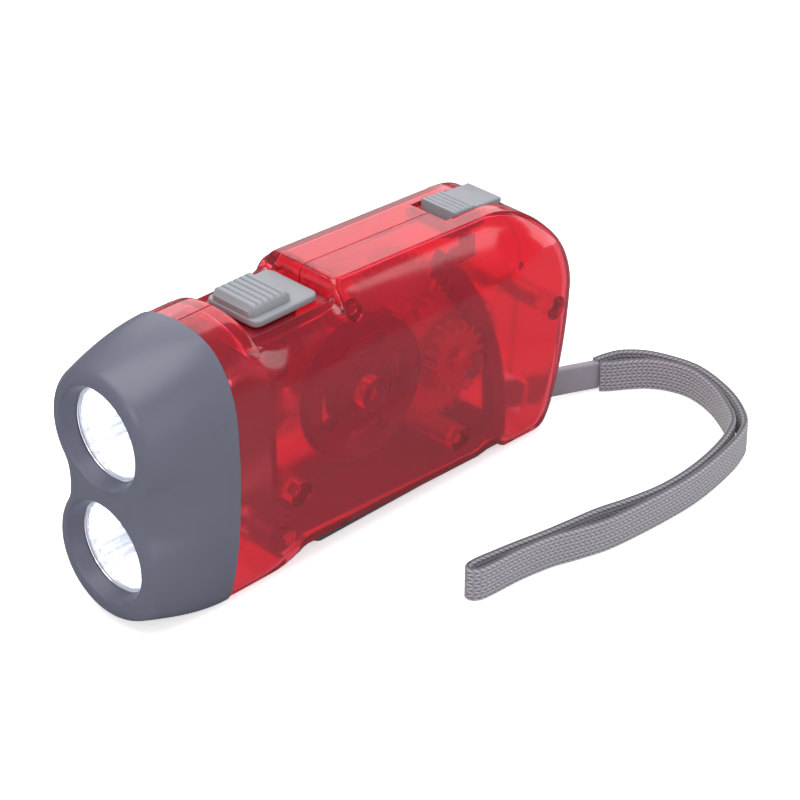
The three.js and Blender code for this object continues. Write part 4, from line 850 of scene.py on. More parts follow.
    def across_places(self, flat: float) -> list[float]:
        """Returns the distances from the middle of a section's level points, up to the lip's end."""
        inner = flat + self.lip[0][0] - self.lip_lead
        level = [mixed(self.parting, inner, share) for share in shares(self.flat_steps - 1)]
        return level + [flat + offset for offset, _ in self.lip]

    @staticmethod
    def lifted(place: Vector, inward: Vector, point: Vector) -> Vector:
        """Returns (from front, across, up) of a point given as (across, depth) at a place of the outline."""
        spot = place + inward * point.y
        return Vector((spot.x, point.x, spot.y))

    def shoulder_points(self, place: Vector, inward: Vector, shape: Shoulder, share: float) -> list[Vector]:
        """Returns the section's points from the parting line round the upper corner.

        Args:
            place: Point of the upper outline.
            inward: Direction into the casing there.
            shape: The shoulder ahead of the tail.
            share: 0 ahead of the tail and 1 where the plain tail edge is reached.

        Returns:
            Points as (from front, across, up).
        """
        depth = mixed(place.y - shape.foot, self.edge_round, share)
        foot = place + inward * depth
        width = self.half_width(foot.y)
        flat = mixed(shape.flat_half, width - self.edge_round, share)
        crown = mixed(shape.crown, 0.0, share)
        corner = mixed(shape.corner_half, width, share)
        drop = mixed(shape.corner_drop, 0.0, share)
        edge = Vector((flat, crown))
        control = Vector((corner, crown + drop))
        curve = quadratic(edge, control, Vector((width, depth)), self.corner_steps)
        bead = mixed(shape.bead, 0.0, share)
        rises = [0.0] * self.flat_steps + [rise for _, rise in self.lip]
        flats = []
        for across, rise in zip(self.across_places(flat), rises):
            part = max(0.0, across) / flat
            flats.append(Vector((across, crown * part * part - bead * rise)))
        curve[0] = edge.lerp((flats[-1] + curve[1]) / 2, self.corner_ease * (1 - share))
        return [self.lifted(place, inward, point) for point in flats + curve]

    def crease(self, place: Vector) -> list[Vector]:
        """Returns the upper part of the section at a point of the top outline ahead of the tail.

        The step to the deck is crisp along the top and fades out down the side.
        """
        down = Vector((0, -1))
        high, raised = self.top, self.front_shoulder
        soft = eased((place.x - self.deck_start + self.crease_lead) / (self.crease_lead + self.crease_lag))
        if place.x > (self.deck_start + self.deck_end) / 2:
            high, raised = min(self.block_at(place.x), self.block_top), self.block_shoulder
            soft = eased((self.deck_end + self.crease_lead - place.x) / (self.crease_lead + self.crease_lag))
        crisp = (high - place.y) / (high - self.deck)
        upper = self.shoulder_points(Vector((place.x, high)), down, raised, 0.0)
        lower = self.shoulder_points(Vector((place.x, self.deck)), down, self.deck_shoulder, 0.0)
        crisp_count = len(upper) - self.corner_steps - 1
        result = []
        for index, (start, end) in enumerate(zip(upper, lower)):
            fade = eased(self.fade_rate * (index - crisp_count) / self.corner_steps)
            result.append(start.lerp(end, mixed(crisp, soft, fade)))
        return result

    def section(self, lower: list[Vector], upper: list[Vector]) -> list[Vector]:
        """Returns a whole half section: lower corner, side wall and upper corner."""
        side = []
        low, high = lower[-1], upper[-1]
        for share in shares(self.side_steps)[1:-1]:
            point = low.lerp(high, share)
            plain = mixed(self.half_width(low.z), self.half_width(high.z), share)
            point.y = mixed(low.y, high.y, share) + self.half_width(point.z) - plain
            side.append(point)
        return lower + side + upper[::-1]

    def sections(self) -> list[list[Vector]]:
        """Returns the half sections from the front to the tail."""
        result = []
        for place in self.top_line():
            floor = Vector((place.x, self.floor_at(place.x)))
            lower = self.floor_corner_points(floor, Vector((0, 1)), 0.0)
            result.append(self.section(lower, self.crease(place)))
        return result + self.tail_sections()

    def tail_sections(self) -> list[list[Vector]]:
        """Returns the half sections that fan round the tail."""
        arc_start = self.length - self.tail_radius
        floor = [Vector((arc_start, self.floor_at(arc_start)))]
        floor += [point for point in self.floor_line() if point.x > arc_start]
        centre = Vector((arc_start, self.tail_height))
        result = []
        for share in shares(self.tail_steps)[1:]:
            angle = math.pi / 2 * (1 - share)
            outward = Vector((math.cos(angle), math.sin(angle)))
            upper_place = centre + outward * self.tail_radius
            upper_place.y -= (1 - share) * (self.tail_height + self.tail_radius - self.block_at(arc_start))
            lower_place = along(floor, share)
            before, after = max(0.0, share - self.run_share), min(1.0, share + self.run_share)
            run = along(floor, after) - along(floor, before)
            inward = Vector((-run.y, run.x)).normalized()
            reach = (lower_place.x - self.heel_start) / (self.tail_low - self.heel_start)
            lower = self.floor_corner_points(lower_place, inward, eased(reach))
            plain = eased(self.tail_rate * share)
            upper = self.shoulder_points(upper_place, -outward, self.block_shoulder, plain)
            result.append(self.section(lower, upper))
        result[-1] = self.section(lower, lower)
        return result

    def hull(self, side: Side) -> bmesh.types.BMesh:
        """Returns one half as a solid, whose last ring closes on itself round the tail."""
        loft = Loft([
            [Vector((FRONT_X + point.x, side.value * point.y, point.z)) for point in section]
            for section in self.sections()
        ])
        bmesh.ops.contextual_create(loft.mesh, geom=loft.edges_of(loft.first))
        return loft.mesh

    def hollow(self) -> "Casing":
        """Returns the shape of the hollow, which crosses the parting line and the front."""
        wall = self.wall
        sides = [(across - wall, up) for across, up in (self.side_low, *self.side_bulges, self.side_top)]
        shoulders = {}
        for name in SHOULDERS:
            shape = getattr(self, name)
            flat, corner = shape.flat_half - wall / 2, shape.corner_half - wall
            shoulders[name] = replace(shape, flat_half=flat, corner_half=corner, bead=0.0)
        return replace(
            self,
            **{name: getattr(self, name) - wall for name in ONE_WALL_LESS},
            **shoulders,
            start_from_front=self.start_from_front - OVERRUN,
            parting=-OVERLAP,
            floor=wall,
            deck_end=self.deck_end + wall,
            floor_flat=self.floor_flat - wall / 2,
            side_low=sides[0],
            side_bulges=(sides[1], sides[2]),
            side_top=sides[3],
        )

    def build(self, side: Side) -> None:
        """Makes one shell."""
        name = f"shell_{side.name.lower()}"
        dress = Dress(f"{name}_clear", self.finish, "casing", "casing_red", (name,), 32.0)
        piece = dress.make(self.hull(side))
        combine(piece, "hollow", self.hollow().hull(side), Join.CUT)
        combine(piece, "fittings", self.fittings(side), Join.ADD)
        if side is Side.RIGHT:
            combine(piece, "cups", self.cups(), Join.ADD)
            combine(piece, "heads", self.head_bores(), Join.CUT)
        combine(piece, "bores", self.bores(), Join.CUT)
        combine(piece, "openings", self.openings(), Join.CUT)
        dress.put(piece)

    def wall_at(self, height: float) -> float:
        """Returns how far from the middle the wall's own middle lies at a height."""
        lean = self.shoulder_lean if height > self.side_top[1] else 0
        return self.half_width(height) - self.wall / 2 - lean

    def fittings(self, side: Side) -> bmesh.types.BMesh:
        """Returns the bosses and posts that stand on one half's wall."""
        bars = []
        for node, radius in {**self.bosses, **self.posts}.items():
            x, z, low_y, high_y = axis_of(node)
            inner = PARTING_GAP / 2
            if node in self.bosses:
                inner = (high_y if side is Side.RIGHT else -low_y) - self.bite
            if inner > 0 and not (node == "middle_axle" and side is Side.LEFT):
                bars.append((radius, x, z, side.value * inner, side.value * self.wall_at(z)))
        return rods(bars)

    def cups(self) -> bmesh.types.BMesh:
        """Returns the wider cups for the screws' heads, which stand on the right half."""
        bars = []
        for x, z, _, high_y in map(axis_of, self.posts):
            floor = high_y - 2 * self.head_thickness - SEAT_GAP
            if self.wall_at(z) > floor:
                bars.append((self.cup_radius, x, z, floor, self.wall_at(z)))
        return rods(bars)

    def bores(self) -> bmesh.types.BMesh:
        """Returns the bores for the axles and the screws' shanks."""
        return rods([
            (self.bore, x, z, low_y - SEAT_GAP, high_y + SEAT_GAP)
            for x, z, low_y, high_y in map(axis_of, [*self.bosses, *self.posts])
        ])

    def head_bores(self) -> bmesh.types.BMesh:
        """Returns the bores for the screws' heads, which run out through the wall."""
        return rods([
            (self.head_bore, x, z, high_y - self.head_thickness - SEAT_GAP, 2 * self.top)
            for x, z, _, high_y in map(axis_of, self.posts)
        ])

    def openings(self) -> bmesh.types.BMesh:
        """Returns the cuts for the lever, the lock slider, the strap tab and the switch's stem."""
        lever_low, lever_high = box_mm("squeeze_lever")
        end_room, side_room = self.lever_room
        stem_x, stem_half = axis_of("switch_slider")[0], STEM_LENGTH / 2 + SEAT_GAP
        stem_side = STEM_HALF + SEAT_GAP
        tab_left, tab_right = self.tab_slot_sides
        tab_low, tab_high = self.tab_slot_heights
        lock_start, lock_end = self.lock_slot
        return blocks([
            (
                (FRONT_X + self.lever_slot_start, lever_low.y - side_room, -OVERRUN),
                (lever_high.x + end_room, lever_high.y + side_room, self.lever_slot_top),
            ),
            (
                (FRONT_X + lock_start, -self.lock_slot_half, self.lock_slot_low),
                (FRONT_X + lock_end, self.lock_slot_half, self.top + OVERRUN),
            ),
            ((FRONT_X + self.tab_slot_start, tab_left, tab_low), (TAIL_X + OVERRUN, tab_right, tab_high)),
            (
                (stem_x - stem_half - SWITCH_TRAVEL, -stem_side, self.deck - OVERRUN),
                (stem_x + stem_half, stem_side, self.deck + OVERLAP),
            ),
        ])


@dataclass
class LampHead:
    """The grey head that flares from two lamp rims to the casing, with its lenses and reflectors."""

    finish: bpy.types.Material
    lens_finish: bpy.types.Material
    mirror_finish: bpy.types.Material
    casing: Casing
    length: float = 19.6
    wall: float = 1.5
    proud: float = 0.3
    edge: float = 2.0
    spacing: float = 23.8
    middle: float = 27.1
    mouth: float = 10.1
    rim: float = 2.6
    lower_drop: float = 1.1
    waist_angle: float = math.radians(38)
    waist_handle: float = 2.4
    seat: float = 9.0
    seat_depth: float = 3.0
    mouth_round: float = 0.7
    flare_power: float = 1.7
    ring_power: float = 1.6
    lens_dome: float = 0.5
    lens_edge: float = 0.3
    bowl_mouth: float = 8.5
    bowl_throat: float = 2.8
    bowl_skin: float = 0.8
    flange: tuple[float, float] = (0.9, 9.5)
    flutes: int = 24
    flute_depth: float = 0.012
    flute_start: float = 0.4
    rim_margin: float = 0.01
    arc_steps: int = 30
    waist_steps: int = 8
    mouth_steps: int = 6
    lens_steps: int = 8
    bowl_steps: int = 16
    rings: int = 22

    def rim_line(self) -> list[Vector]:
        """Returns the outline of the two rims and the waist between them, once round."""
        radius = self.mouth + self.rim
        reach = self.spacing / 2
        sweep = math.pi / 2 + self.waist_angle
        angles = [math.pi / 2 - sweep * step / self.arc_steps for step in range(self.arc_steps + 1)]
        top, bottom = self.middle + reach, self.middle - reach - self.lower_drop
        upper = [Vector((radius * math.cos(angle), top + radius * math.sin(angle))) for angle in angles]
        lower = [Vector((radius * math.cos(angle), bottom - radius * math.sin(angle))) for angle in angles]
        inward = self.waist_handle * math.sin(self.waist_angle)
        rise = self.waist_handle * math.cos(self.waist_angle)
        start, end = lower[-1], upper[-1]
        first = start + Vector((-inward, rise))
        second = end + Vector((-inward, -rise))
        waist = [cubic(start, first, second, end, share) for share in shares(self.waist_steps)[1:-1]]
        return once_round(lower + waist + upper[::-1])

    def joint_line(self) -> list[Vector]:
        """Returns the casing's front section, once round."""
        half = self.casing.sections()[0]
        right = [Vector((point.y, point.z)) for point in half]
        right[0].x = right[-1].x = 0.0
        return once_round(right)

    def spread(self, point: Vector, joint: list[Vector]) -> Vector:
        """Returns where a ray from the lamps' middle through a point meets the joint's outline."""
        centre = Vector((0, self.middle))
        ray = point - centre
        for start, end in zip(joint, joint[1:] + joint[:1]):
            edge = end - start
            facing = ray.cross(edge)
            if abs(facing) < PARALLEL:
                continue
            share = (start - centre).cross(edge) / facing
            across = (start - centre).cross(ray) / facing
            if share > 0 and -NEARLY <= across <= 1 + NEARLY:
                return centre + ray * share
        return point.copy()

    @staticmethod
    def inset(points: list[Vector], distance: float) -> list[Vector]:
        """Returns an outline moved in by a distance."""
        result = []
        for index, point in enumerate(points):
            run = (points[(index + 1) % len(points)] - points[index - 1]).normalized()
            result.append(point + Vector((-run.y, run.x)) * distance)
        return result

    def skin(self, inset: float, start: float, end: float) -> bmesh.types.BMesh:
        """Returns a closed flaring body.

        Args:
            inset: How far it lies inside the outer skin.
            start: Its front, from the lamp face.
            end: Its rear, from the lamp face.

        Returns:
            The mesh.
        """
        rim = self.rim_line()
        joint = self.inset(self.joint_line(), -self.proud)
        spread = [self.spread(point, joint) for point in rim]
        rings = []
        for share in shares(self.rings):
            place = mixed(start, end, share ** self.ring_power)
            flare = 1 - (1 - min(1.0, max(0.0, place / self.length))) ** self.flare_power
            short = max(0.0, 1 - place / self.edge)
            rounding = self.edge * (1 - math.sqrt(1 - short * short))
            outline = [point.lerp(far, flare) for point, far in zip(rim, spread)]
            outline = self.inset(outline, inset + rounding)
            rings.append([Vector((FRONT_X + place, point.x, max(point.y, inset))) for point in outline])
        return Loft(rings).capped()

    def lamp_heights(self) -> dict[str, float]:
        """Returns each lamp's height."""
        return {"upper": self.middle + self.spacing / 2, "lower": self.middle - self.spacing / 2}

    @staticmethod
    def turned(profile: list[tuple[float, float]], height: float) -> bmesh.types.BMesh:
        """Spins a profile of (from front, radius) about a lamp's axis.

        Args:
            profile: The points, from one end to the other.
            height: The axis's height.

        Returns:
            The mesh.
        """
        mesh = bmesh.new()
        points = [mesh.verts.new((FRONT_X + x, radius, height)) for x, radius in profile]
        edges = [mesh.edges.new(pair) for pair in zip(points, points[1:])]
        bmesh.ops.spin(
            mesh,
            geom=points + edges,
            cent=(0, 0, height),
            axis=(1, 0, 0),
            angle=2 * math.pi,
            steps=SPIN_STEPS,
            use_merge=True,
        )
        return mesh

    def mouth_tool(self, height: float) -> bmesh.types.BMesh:
        """Returns the cut for one lamp, with a rounded mouth."""
        profile = [(-OVERRUN, 0.0), (-OVERRUN, self.mouth + self.mouth_round)]
        for step in range(self.mouth_steps + 1):
            angle = math.pi / 2 * step / self.mouth_steps
            profile.append((
                self.mouth_round * (1 - math.cos(angle)),
                self.mouth + self.mouth_round * (1 - math.sin(angle)),
            ))
        profile += [(self.seat_depth, self.seat), (self.seat_depth + OVERRUN, self.seat)]
        profile.append((self.seat_depth + OVERRUN, 0.0))
        return self.turned(profile, height)

    def build(self) -> None:
        """Makes the head and its lamps."""
        dress = Dress("lamp_head", self.finish, "casing", "bezel_grey", ("bezel",), 40.0)
        piece = dress.make(self.skin(0.0, 0.0, self.length))
        hollow = self.skin(self.wall, self.seat_depth, self.length + OVERRUN)
        combine(piece, "hollow", hollow, Join.CUT)
        for height in self.lamp_heights().values():
            combine(piece, "mouth", self.mouth_tool(height), Join.CUT)
        dress.put(piece)
        for name, height in self.lamp_heights().items():
            self.build_lens(name, height)
            self.build_mirror(name, height)

    def build_lens(self, name: str, height: float) -> None:
        """Makes one lens, slightly domed in front."""
        low, high = box_mm(f"lens_{name}")
        radius = (high.z - low.z) / 2
        front, rear = low.x - FRONT_X, high.x - FRONT_X
        profile = [(rear, 0.0), (rear, radius), (front + self.lens_edge, radius)]
        for share in shares(self.lens_steps):
            dome = self.lens_dome * (1 - (1 - share) ** 2)
            profile.append((front - dome, (radius - self.lens_edge) * (1 - share)))
        dress = Dress(f"lens_{name}_clear", self.lens_finish, "casing", "lens_clear", (f"lens_{name}",))
        dress.put(dress.make(self.turned(profile, height)))

    def build_mirror(self, name: str, height: float) -> None:
        """Makes one reflector, a fluted bowl with a flange."""
        low, high = box_mm(f"reflector_{name}")
        front, rear = low.x - FRONT_X, high.x - FRONT_X
        mouth, flange_depth = self.bowl_mouth, self.flange[0]
        narrowing = 1 - (self.bowl_throat / mouth) ** 2
        bowl = [
            (front + share * (rear - front), mouth * math.sqrt(1 - share * narrowing))
            for share in shares(self.bowl_steps)
        ]
        back = [(x, radius + self.bowl_skin) for x, radius in bowl[::-1] if x > front + flange_depth]
        flange = [(front + flange_depth, self.flange[1]), (front, self.flange[1])]
        mesh = self.turned([*bowl, *back, *flange, bowl[0]], height)
        for vertex in mesh.verts:
            spoke = Vector((vertex.co.y, vertex.co.z - height))
            if spoke.length < mouth - self.rim_margin and vertex.co.x - FRONT_X > front + self.flute_start:
                angle = math.atan2(spoke.y, spoke.x)
                ripple = 1 + self.flute_depth * math.cos(self.flutes * angle)
                vertex.co.y *= ripple
                vertex.co.z = height + (vertex.co.z - height) * ripple
        node = f"reflector_{name}"
        dress = Dress(f"{node}_mirror", self.mirror_finish, "casing", "reflector_mirror", (node,), 50.0)
        dress.put(dress.make(mesh))


@dataclass
class Slider:
    """A ribbed thumb piece: a closed side outline that is carried across with rounded ends."""

    half_width: float
    edge: float = 0.5
    steps: int = 4

    def build(self, outline: list[Vector]) -> bmesh.types.BMesh:
        """Returns the body of a closed outline of (x, z) points."""
        low = Vector((min(point.x for point in outline), min(point.y for point in outline)))
        high = Vector((max(point.x for point in outline), max(point.y for point in outline)))
        middle = (low.y + high.y) / 2
        angles = [math.pi / 2 * step / self.steps for step in range(self.steps + 1)]
        rows = [
            (self.edge * (1 - math.cos(angle)) - self.half_width, self.edge * (1 - math.sin(angle)))
            for angle in angles
        ]
        rows += [(-y, inset) for y, inset in rows[::-1]]
        return Loft([
            [
                Vector((
                    min(high.x - inset, max(low.x + inset, point.x)),
                    y,
                    point.y + math.copysign(inset, middle - point.y),
                ))
                for point in outline
            ]
            for y, inset in rows
        ]).capped()


def rib_wave(ribs: int, height: float) -> list[tuple[float, float]]:
    """Returns (share of the run, lift) for a row of flat-topped ribs with narrow grooves between them."""
    steps = RIB_STEPS * ribs
    points = []
    for step in range(steps + 1):
        wave = math.sin(math.pi * ribs * step / steps)
        points.append((step / steps, height * (1 - (1 - abs(wave)) ** 3)))
    return points


def ribbed_outline(
    start: float, end: float, low: float, top: float, ribs: int, height: float
) -> list[Vector]:
    """Returns a slab's side outline with rounded ribs along its top.

    Args:
        start: Front of the slab.
        end: Rear of the slab.
        low: Underside.
        top: Height between the ribs.
        ribs: Number of ribs.
        height: How far the ribs rise.

    Returns:
        The closed outline as (x, z) points.
    """
    near, far, foot, rim = start + SLAB_CORNER, end - SLAB_CORNER, low + SLAB_CORNER, top - SLAB_CORNER
    points = [(near, low), (far, low), (end, foot), (end, rim)]
    points += [(mixed(far, near, share), top + lift) for share, lift in rib_wave(ribs, height)]
    return [Vector(point) for point in (*points, (start, rim), (start, foot))]


@dataclass
class Sliders:
    """The switch and the lock on the casing's top. The grip's run is measured from the switch's own front."""

    finish: bpy.types.Material
    lock_start: float = 85.6
    lock_end: float = 99.0
    lock_slope: float = 0.075
    lock_rib: float = 0.35
    lock_ribbed: float = 6.2
    lock_depth: float = 4.16
    lock_ribs: int = 5
    lock_half: float = 4.4
    lock_edge: float = 0.35
    flange_half: float = 5.8
    flange_thickness: float = 1.3
    tip_height: float = 1.6
    tip_gap: float = 0.1
    arm_bite: float = 0.3
    front_drop: float = 0.5
    first_rib: float = 0.15
    ribs_end: float = 0.1
    rear_drops: tuple[float, float] = (0.8, 0.2)
    rear_edge: float = 0.3
    lock_apron: float = 2.6
    hook_reach: float = 3.2
    hook_thickness: float = 1.4
    hook_sides: tuple[float, float] = (-7.8, -5.0)
    plate_low: float = 50.9
    plate_top: float = 52.4
    plate_corner: float = 1.6
    plate_edge: float = 0.35
    grip_run: tuple[float, float] = (0.2, 10.2)
    grip_half: float = 5.3
    grip_edge: float = 0.8
    grip_drop: float = 0.85
    grip_ribs: int = 6
    grip_rib: float = 0.45
    stem_bite: float = 0.7

    def build(self) -> None:
        """Makes both sliders."""
        self.build_switch()
        self.build_lock()

    def build_switch(self) -> None:
        """Makes the switch: a plate with round corners, a ribbed grip and a stem."""
        low, high = box_mm("switch_slider")
        mesh = blocks([((low.x, low.y, self.plate_low), (high.x, high.y, self.plate_top))])
        upright = [edge for edge in mesh.edges if abs(edge.verts[0].co.z - edge.verts[1].co.z) > 1]
        self.bevel(mesh, upright, self.plate_corner, 6)
        self.bevel(mesh, [edge for edge in mesh.edges if edge.calc_face_angle(0) > 1.2], self.plate_edge, 3)
        dress = Dress("switch_plate", self.finish, "switch", "slider_grey", ("switch_slider",))
        piece = dress.make(mesh)
        start, end = (low.x + place for place in self.grip_run)
        foot = self.plate_top - self.grip_edge
        outline = ribbed_outline(start, end, foot, high.z - self.grip_drop, self.grip_ribs, self.grip_rib)
        combine(piece, "grip", Slider(self.grip_half, self.grip_edge).build(outline), Join.ADD)
        middle = (low.x + high.x) / 2
        stem = blocks([(
            (middle - STEM_LENGTH / 2, -STEM_HALF, low.z),
            (middle + STEM_LENGTH / 2, STEM_HALF, self.plate_low + self.stem_bite),
        )])
        combine(piece, "stem", stem, Join.ADD)
        dress.put(piece)

    @staticmethod
    def bevel(mesh: bmesh.types.BMesh, edges: list[bmesh.types.BMEdge], offset: float, segments: int) -> None:
        """Rounds some edges of a mesh."""
        bmesh.ops.bevel(
            mesh, geom=edges, offset=offset, affect="EDGES", segments=segments, profile=0.5, material=-1
        )

    def build_lock(self) -> None:
        """Makes the lock: a sloping ribbed plate, a flange under it and a hook that reaches down."""
        low, high = box_mm("lock_slider")
        start, end = FRONT_X + self.lock_start, FRONT_X + self.lock_end
        slope = self.lock_slope
        top = high.z - self.lock_rib
        under = top - self.lock_depth
        hook_start = low.x + self.hook_reach
        hook_end = hook_start + self.hook_thickness
        rear_top = top - slope * (end - start)
        run = self.lock_ribbed
        outline = [
            (start, under),
            (start + run, under),
            *((end, rear_top - drop) for drop in self.rear_drops),
            (end - self.rear_edge, rear_top),
            (start + run + self.ribs_end, top - slope * run),
        ]
        for share, lift in rib_wave(self.lock_ribs, self.lock_rib)[::-1]:
            across = max(self.first_rib, run * share)
            outline.append((start + across, top - slope * across + lift))
        outline = [Vector(point) for point in (*outline, (start, top - self.front_drop))]
        dress = Dress("lock_plate", self.finish, "lock", "slider_grey", ("lock_slider",))
        piece = dress.make(Slider(self.lock_half, self.lock_edge).build(outline))
        near, far = self.hook_sides
        flange_start = min(start - self.lock_apron, hook_start)
        parts = {
            "flange": (
                (flange_start, -self.flange_half, under),
                (start + run, self.flange_half, under + self.flange_thickness),
            ),
            "arm": ((hook_start, near, low.z), (hook_end, far, under + self.arm_bite)),
            "tip": ((low.x, near, low.z), (hook_end - self.tip_gap, far, low.z + self.tip_height)),
        }
        for name, corners in parts.items():
            combine(piece, name, blocks([corners]), Join.ADD)
        dress.put(piece)


@dataclass
class Strap:
    """The wrist strap: a smooth tab on the casing's pin and one band folded in half."""

    finish: bpy.types.Material
    tab_finish: bpy.types.Material
    width: float = 7.0
    thickness: float = 1.15
    floor_gap: float = 0.05
    corner: float = 0.45
    corner_sides: int = 5
    outer_length: float = 0.127
    inner_length: float = 0.116
    step: float = 0.7
    outer_leg: list[tuple[float, float]] = field(default_factory=lambda: [
        (125.0, -7.3), (128.2, -7.9), (131.6, -9.4), (134.9, -13.2), (136.9, -18.8), (137.6, -24.3),
        (136.3, -30.6), (133.3, -37.8), (128.5, -44.2), (123.4, -46.9), (118.0, -48.4), (110.7, -49.7),
        (103.9, -50.3), (96.5, -50.2), (89.0, -49.7), (82.0, -48.9), (76.0, -47.2), (70.0, -45.2),
        (63.0, -44.0), (57.0, -43.6), (53.8, -43.3), (52.3, -42.7), (51.7, -41.6), (52.2, -40.8),
        (53.1, -40.5),
    ])
    inner_leg: list[tuple[float, float]] = field(default_factory=lambda: [
        (124.7, -9.2), (126.7, -10.9), (130.0, -13.2), (133.0, -16.0), (135.1, -20.0), (135.8, -24.6),
        (134.4, -30.6), (131.3, -36.6), (127.0, -42.3), (122.0, -45.0), (116.5, -46.7), (110.4, -47.9),
        (103.9, -48.5), (97.0, -48.3), (90.0, -47.0), (83.0, -45.2), (76.5, -44.2), (70.0, -43.2),
        (63.5, -41.9), (57.5, -40.9), (54.8, -40.5), (52.9, -40.5),
    ])
    tab: tuple[tuple[float, float], ...] = (
        (101.0, 0.0), (108.0, -2.2), (115.4, -4.6), (119.4, -5.9), (125.2, -7.9),
    )
    tab_halves: tuple[float, float] = (3.0, 1.05)
    tab_powers: tuple[float, float] = (0.2, 0.35)
    tab_middle: float = 5.1
    tab_fall: float = 0.07
    tab_sides: int = 24
    curve_steps: int = 12

    def smooth(self, places: list[tuple[float, float]]) -> list[Vector]:
        """Returns a smooth line through places, with even steps."""
        points = [Vector((FRONT_X + x, y)) for x, y in places]
        ends = [2 * points[0] - points[1], *points, 2 * points[-1] - points[-2]]
        line = []
        for before, start, end, after in zip(ends, ends[1:], ends[2:], ends[3:]):
            for t in shares(self.curve_steps)[:-1]:
                line.append(0.5 * (
                    2 * start + (end - before) * t
                    + (2 * before - 5 * start + 4 * end - after) * t * t
                    + (3 * start - before - 3 * end + after) * t * t * t
                ))
        line.append(points[-1])
        length = sum((end - start).length for start, end in zip(line, line[1:]))
        count = round(length / self.step)
        return [along(line, share) for share in shares(count)]

    def band(self, line: list[Vector]) -> bmesh.types.BMesh:
        """Returns a flat band on edge along a line on the floor."""
        section = []
        corner, sides = self.corner, self.corner_sides
        half_up, half_across = self.width / 2, self.thickness / 2
        for up_sign, across_sign in ((1, 1), (-1, 1), (-1, -1), (1, -1)):
            order = range(sides + 1) if up_sign * across_sign < 0 else range(sides, -1, -1)
            for part in order:
                angle = math.pi / 2 * part / sides
                section.append((
                    across_sign * (half_across - corner * (1 - math.cos(angle))),
                    up_sign * (half_up - corner * (1 - math.sin(angle))),
                ))
        middle = self.floor_gap + half_up
        return self.carried(line, section, [middle] * len(line))

    @staticmethod
    def carried(
        line: list[Vector], section: list[tuple[float, float]], middles: list[float]
    ) -> bmesh.types.BMesh:
        """Returns the body of a section that is carried along a line on the floor.

        Args:
            line: The line.
            section: The section's points as (across, up) from its middle.
            middles: The height of the section's middle at each point of the line.

        Returns:
            The mesh.
        """
        rings = []
        for index, (place, middle) in enumerate(zip(line, middles)):
            run = (line[min(index + 1, len(line) - 1)] - line[max(index - 1, 0)]).normalized()
            rings.append([
                Vector((place.x - run.y * out, place.y + run.x * out, middle + up)) for out, up in section
            ])
        return Loft(rings).capped()

    def weave(self, piece: bpy.types.Object, line: list[Vector]) -> None:
        """Writes each point's run along the band and its share of the width."""
        data = piece.data
        runs = [0.0]
        for start, end in zip(line, line[1:]):
            runs.append(runs[-1] + (end - start).length * MM)
        places = [place * MM for place in line]
        attribute = data.attributes.new("weave", "FLOAT_VECTOR", "POINT")
        for index, vertex in enumerate(data.vertices):
            spot = Vector((vertex.co.x, vertex.co.y))
            nearest = min(range(len(places)), key=lambda place: (places[place] - spot).length_squared)
            up = (vertex.co.z / MM - self.floor_gap) / self.width
            attribute.data[index].vector = (runs[nearest], up, 0.0)

    def build(self) -> None:
        """Makes the tab and both halves of the band."""
        legs = (("outer", self.outer_leg, self.outer_length), ("inner", self.inner_leg, self.inner_length))
        for name, places, length in legs:
            line = self.smooth(places)
            dress = Dress(
                f"strap_{name}_braid", self.finish, "casing", "strap_webbing", (f"strap_leg_{name}",), 60.0
            )
            piece = dress.make(self.band(line))
            self.weave(piece, line)
            dress.put(piece)
            measured = sum((end - start).length for start, end in zip(line, line[1:]))
            LOG.info("%s leg is %.1f mm long", name, measured)
        self.build_tab()

    def build_tab(self) -> None:
        """Makes the smooth tab between the casing's pin and the band."""
        line = [Vector((FRONT_X + x, y)) for x, y in self.tab]
        section = []
        for part in range(self.tab_sides):
            angle = 2 * math.pi * part / self.tab_sides
            waves = (math.sin(angle), math.cos(angle))
            up, across = (
                half * math.copysign(abs(wave) ** power, wave)
                for half, power, wave in zip(self.tab_halves, self.tab_powers, waves)
            )
            section.append((across, up))
        middles = [self.tab_middle - self.tab_fall * (place.x - line[0].x) for place in line]
        dress = Dress("strap_tab_sleeve", self.tab_finish, "casing", "tab_sleeve", ("strap_tab",), 50.0)
        dress.put(dress.make(self.carried(line, section, middles)))


@dataclass
class Insides:
    """The frame's own solids, which keep their shape and get a finish."""

    slots: dict[str, bpy.types.Material]

    def dress(self, frame: dict) -> None:
        """Gives every CAD node the finish of its material slot."""
        slot_of = {part["node"]: part["material_slot"] for part in frame["record"]["subparts"]}
        for name, node in frame["nodes"].items():
            coat(node, self.slots[slot_of[name]])
            LOG.info("%s: frame node in %s", name, slot_of[name])


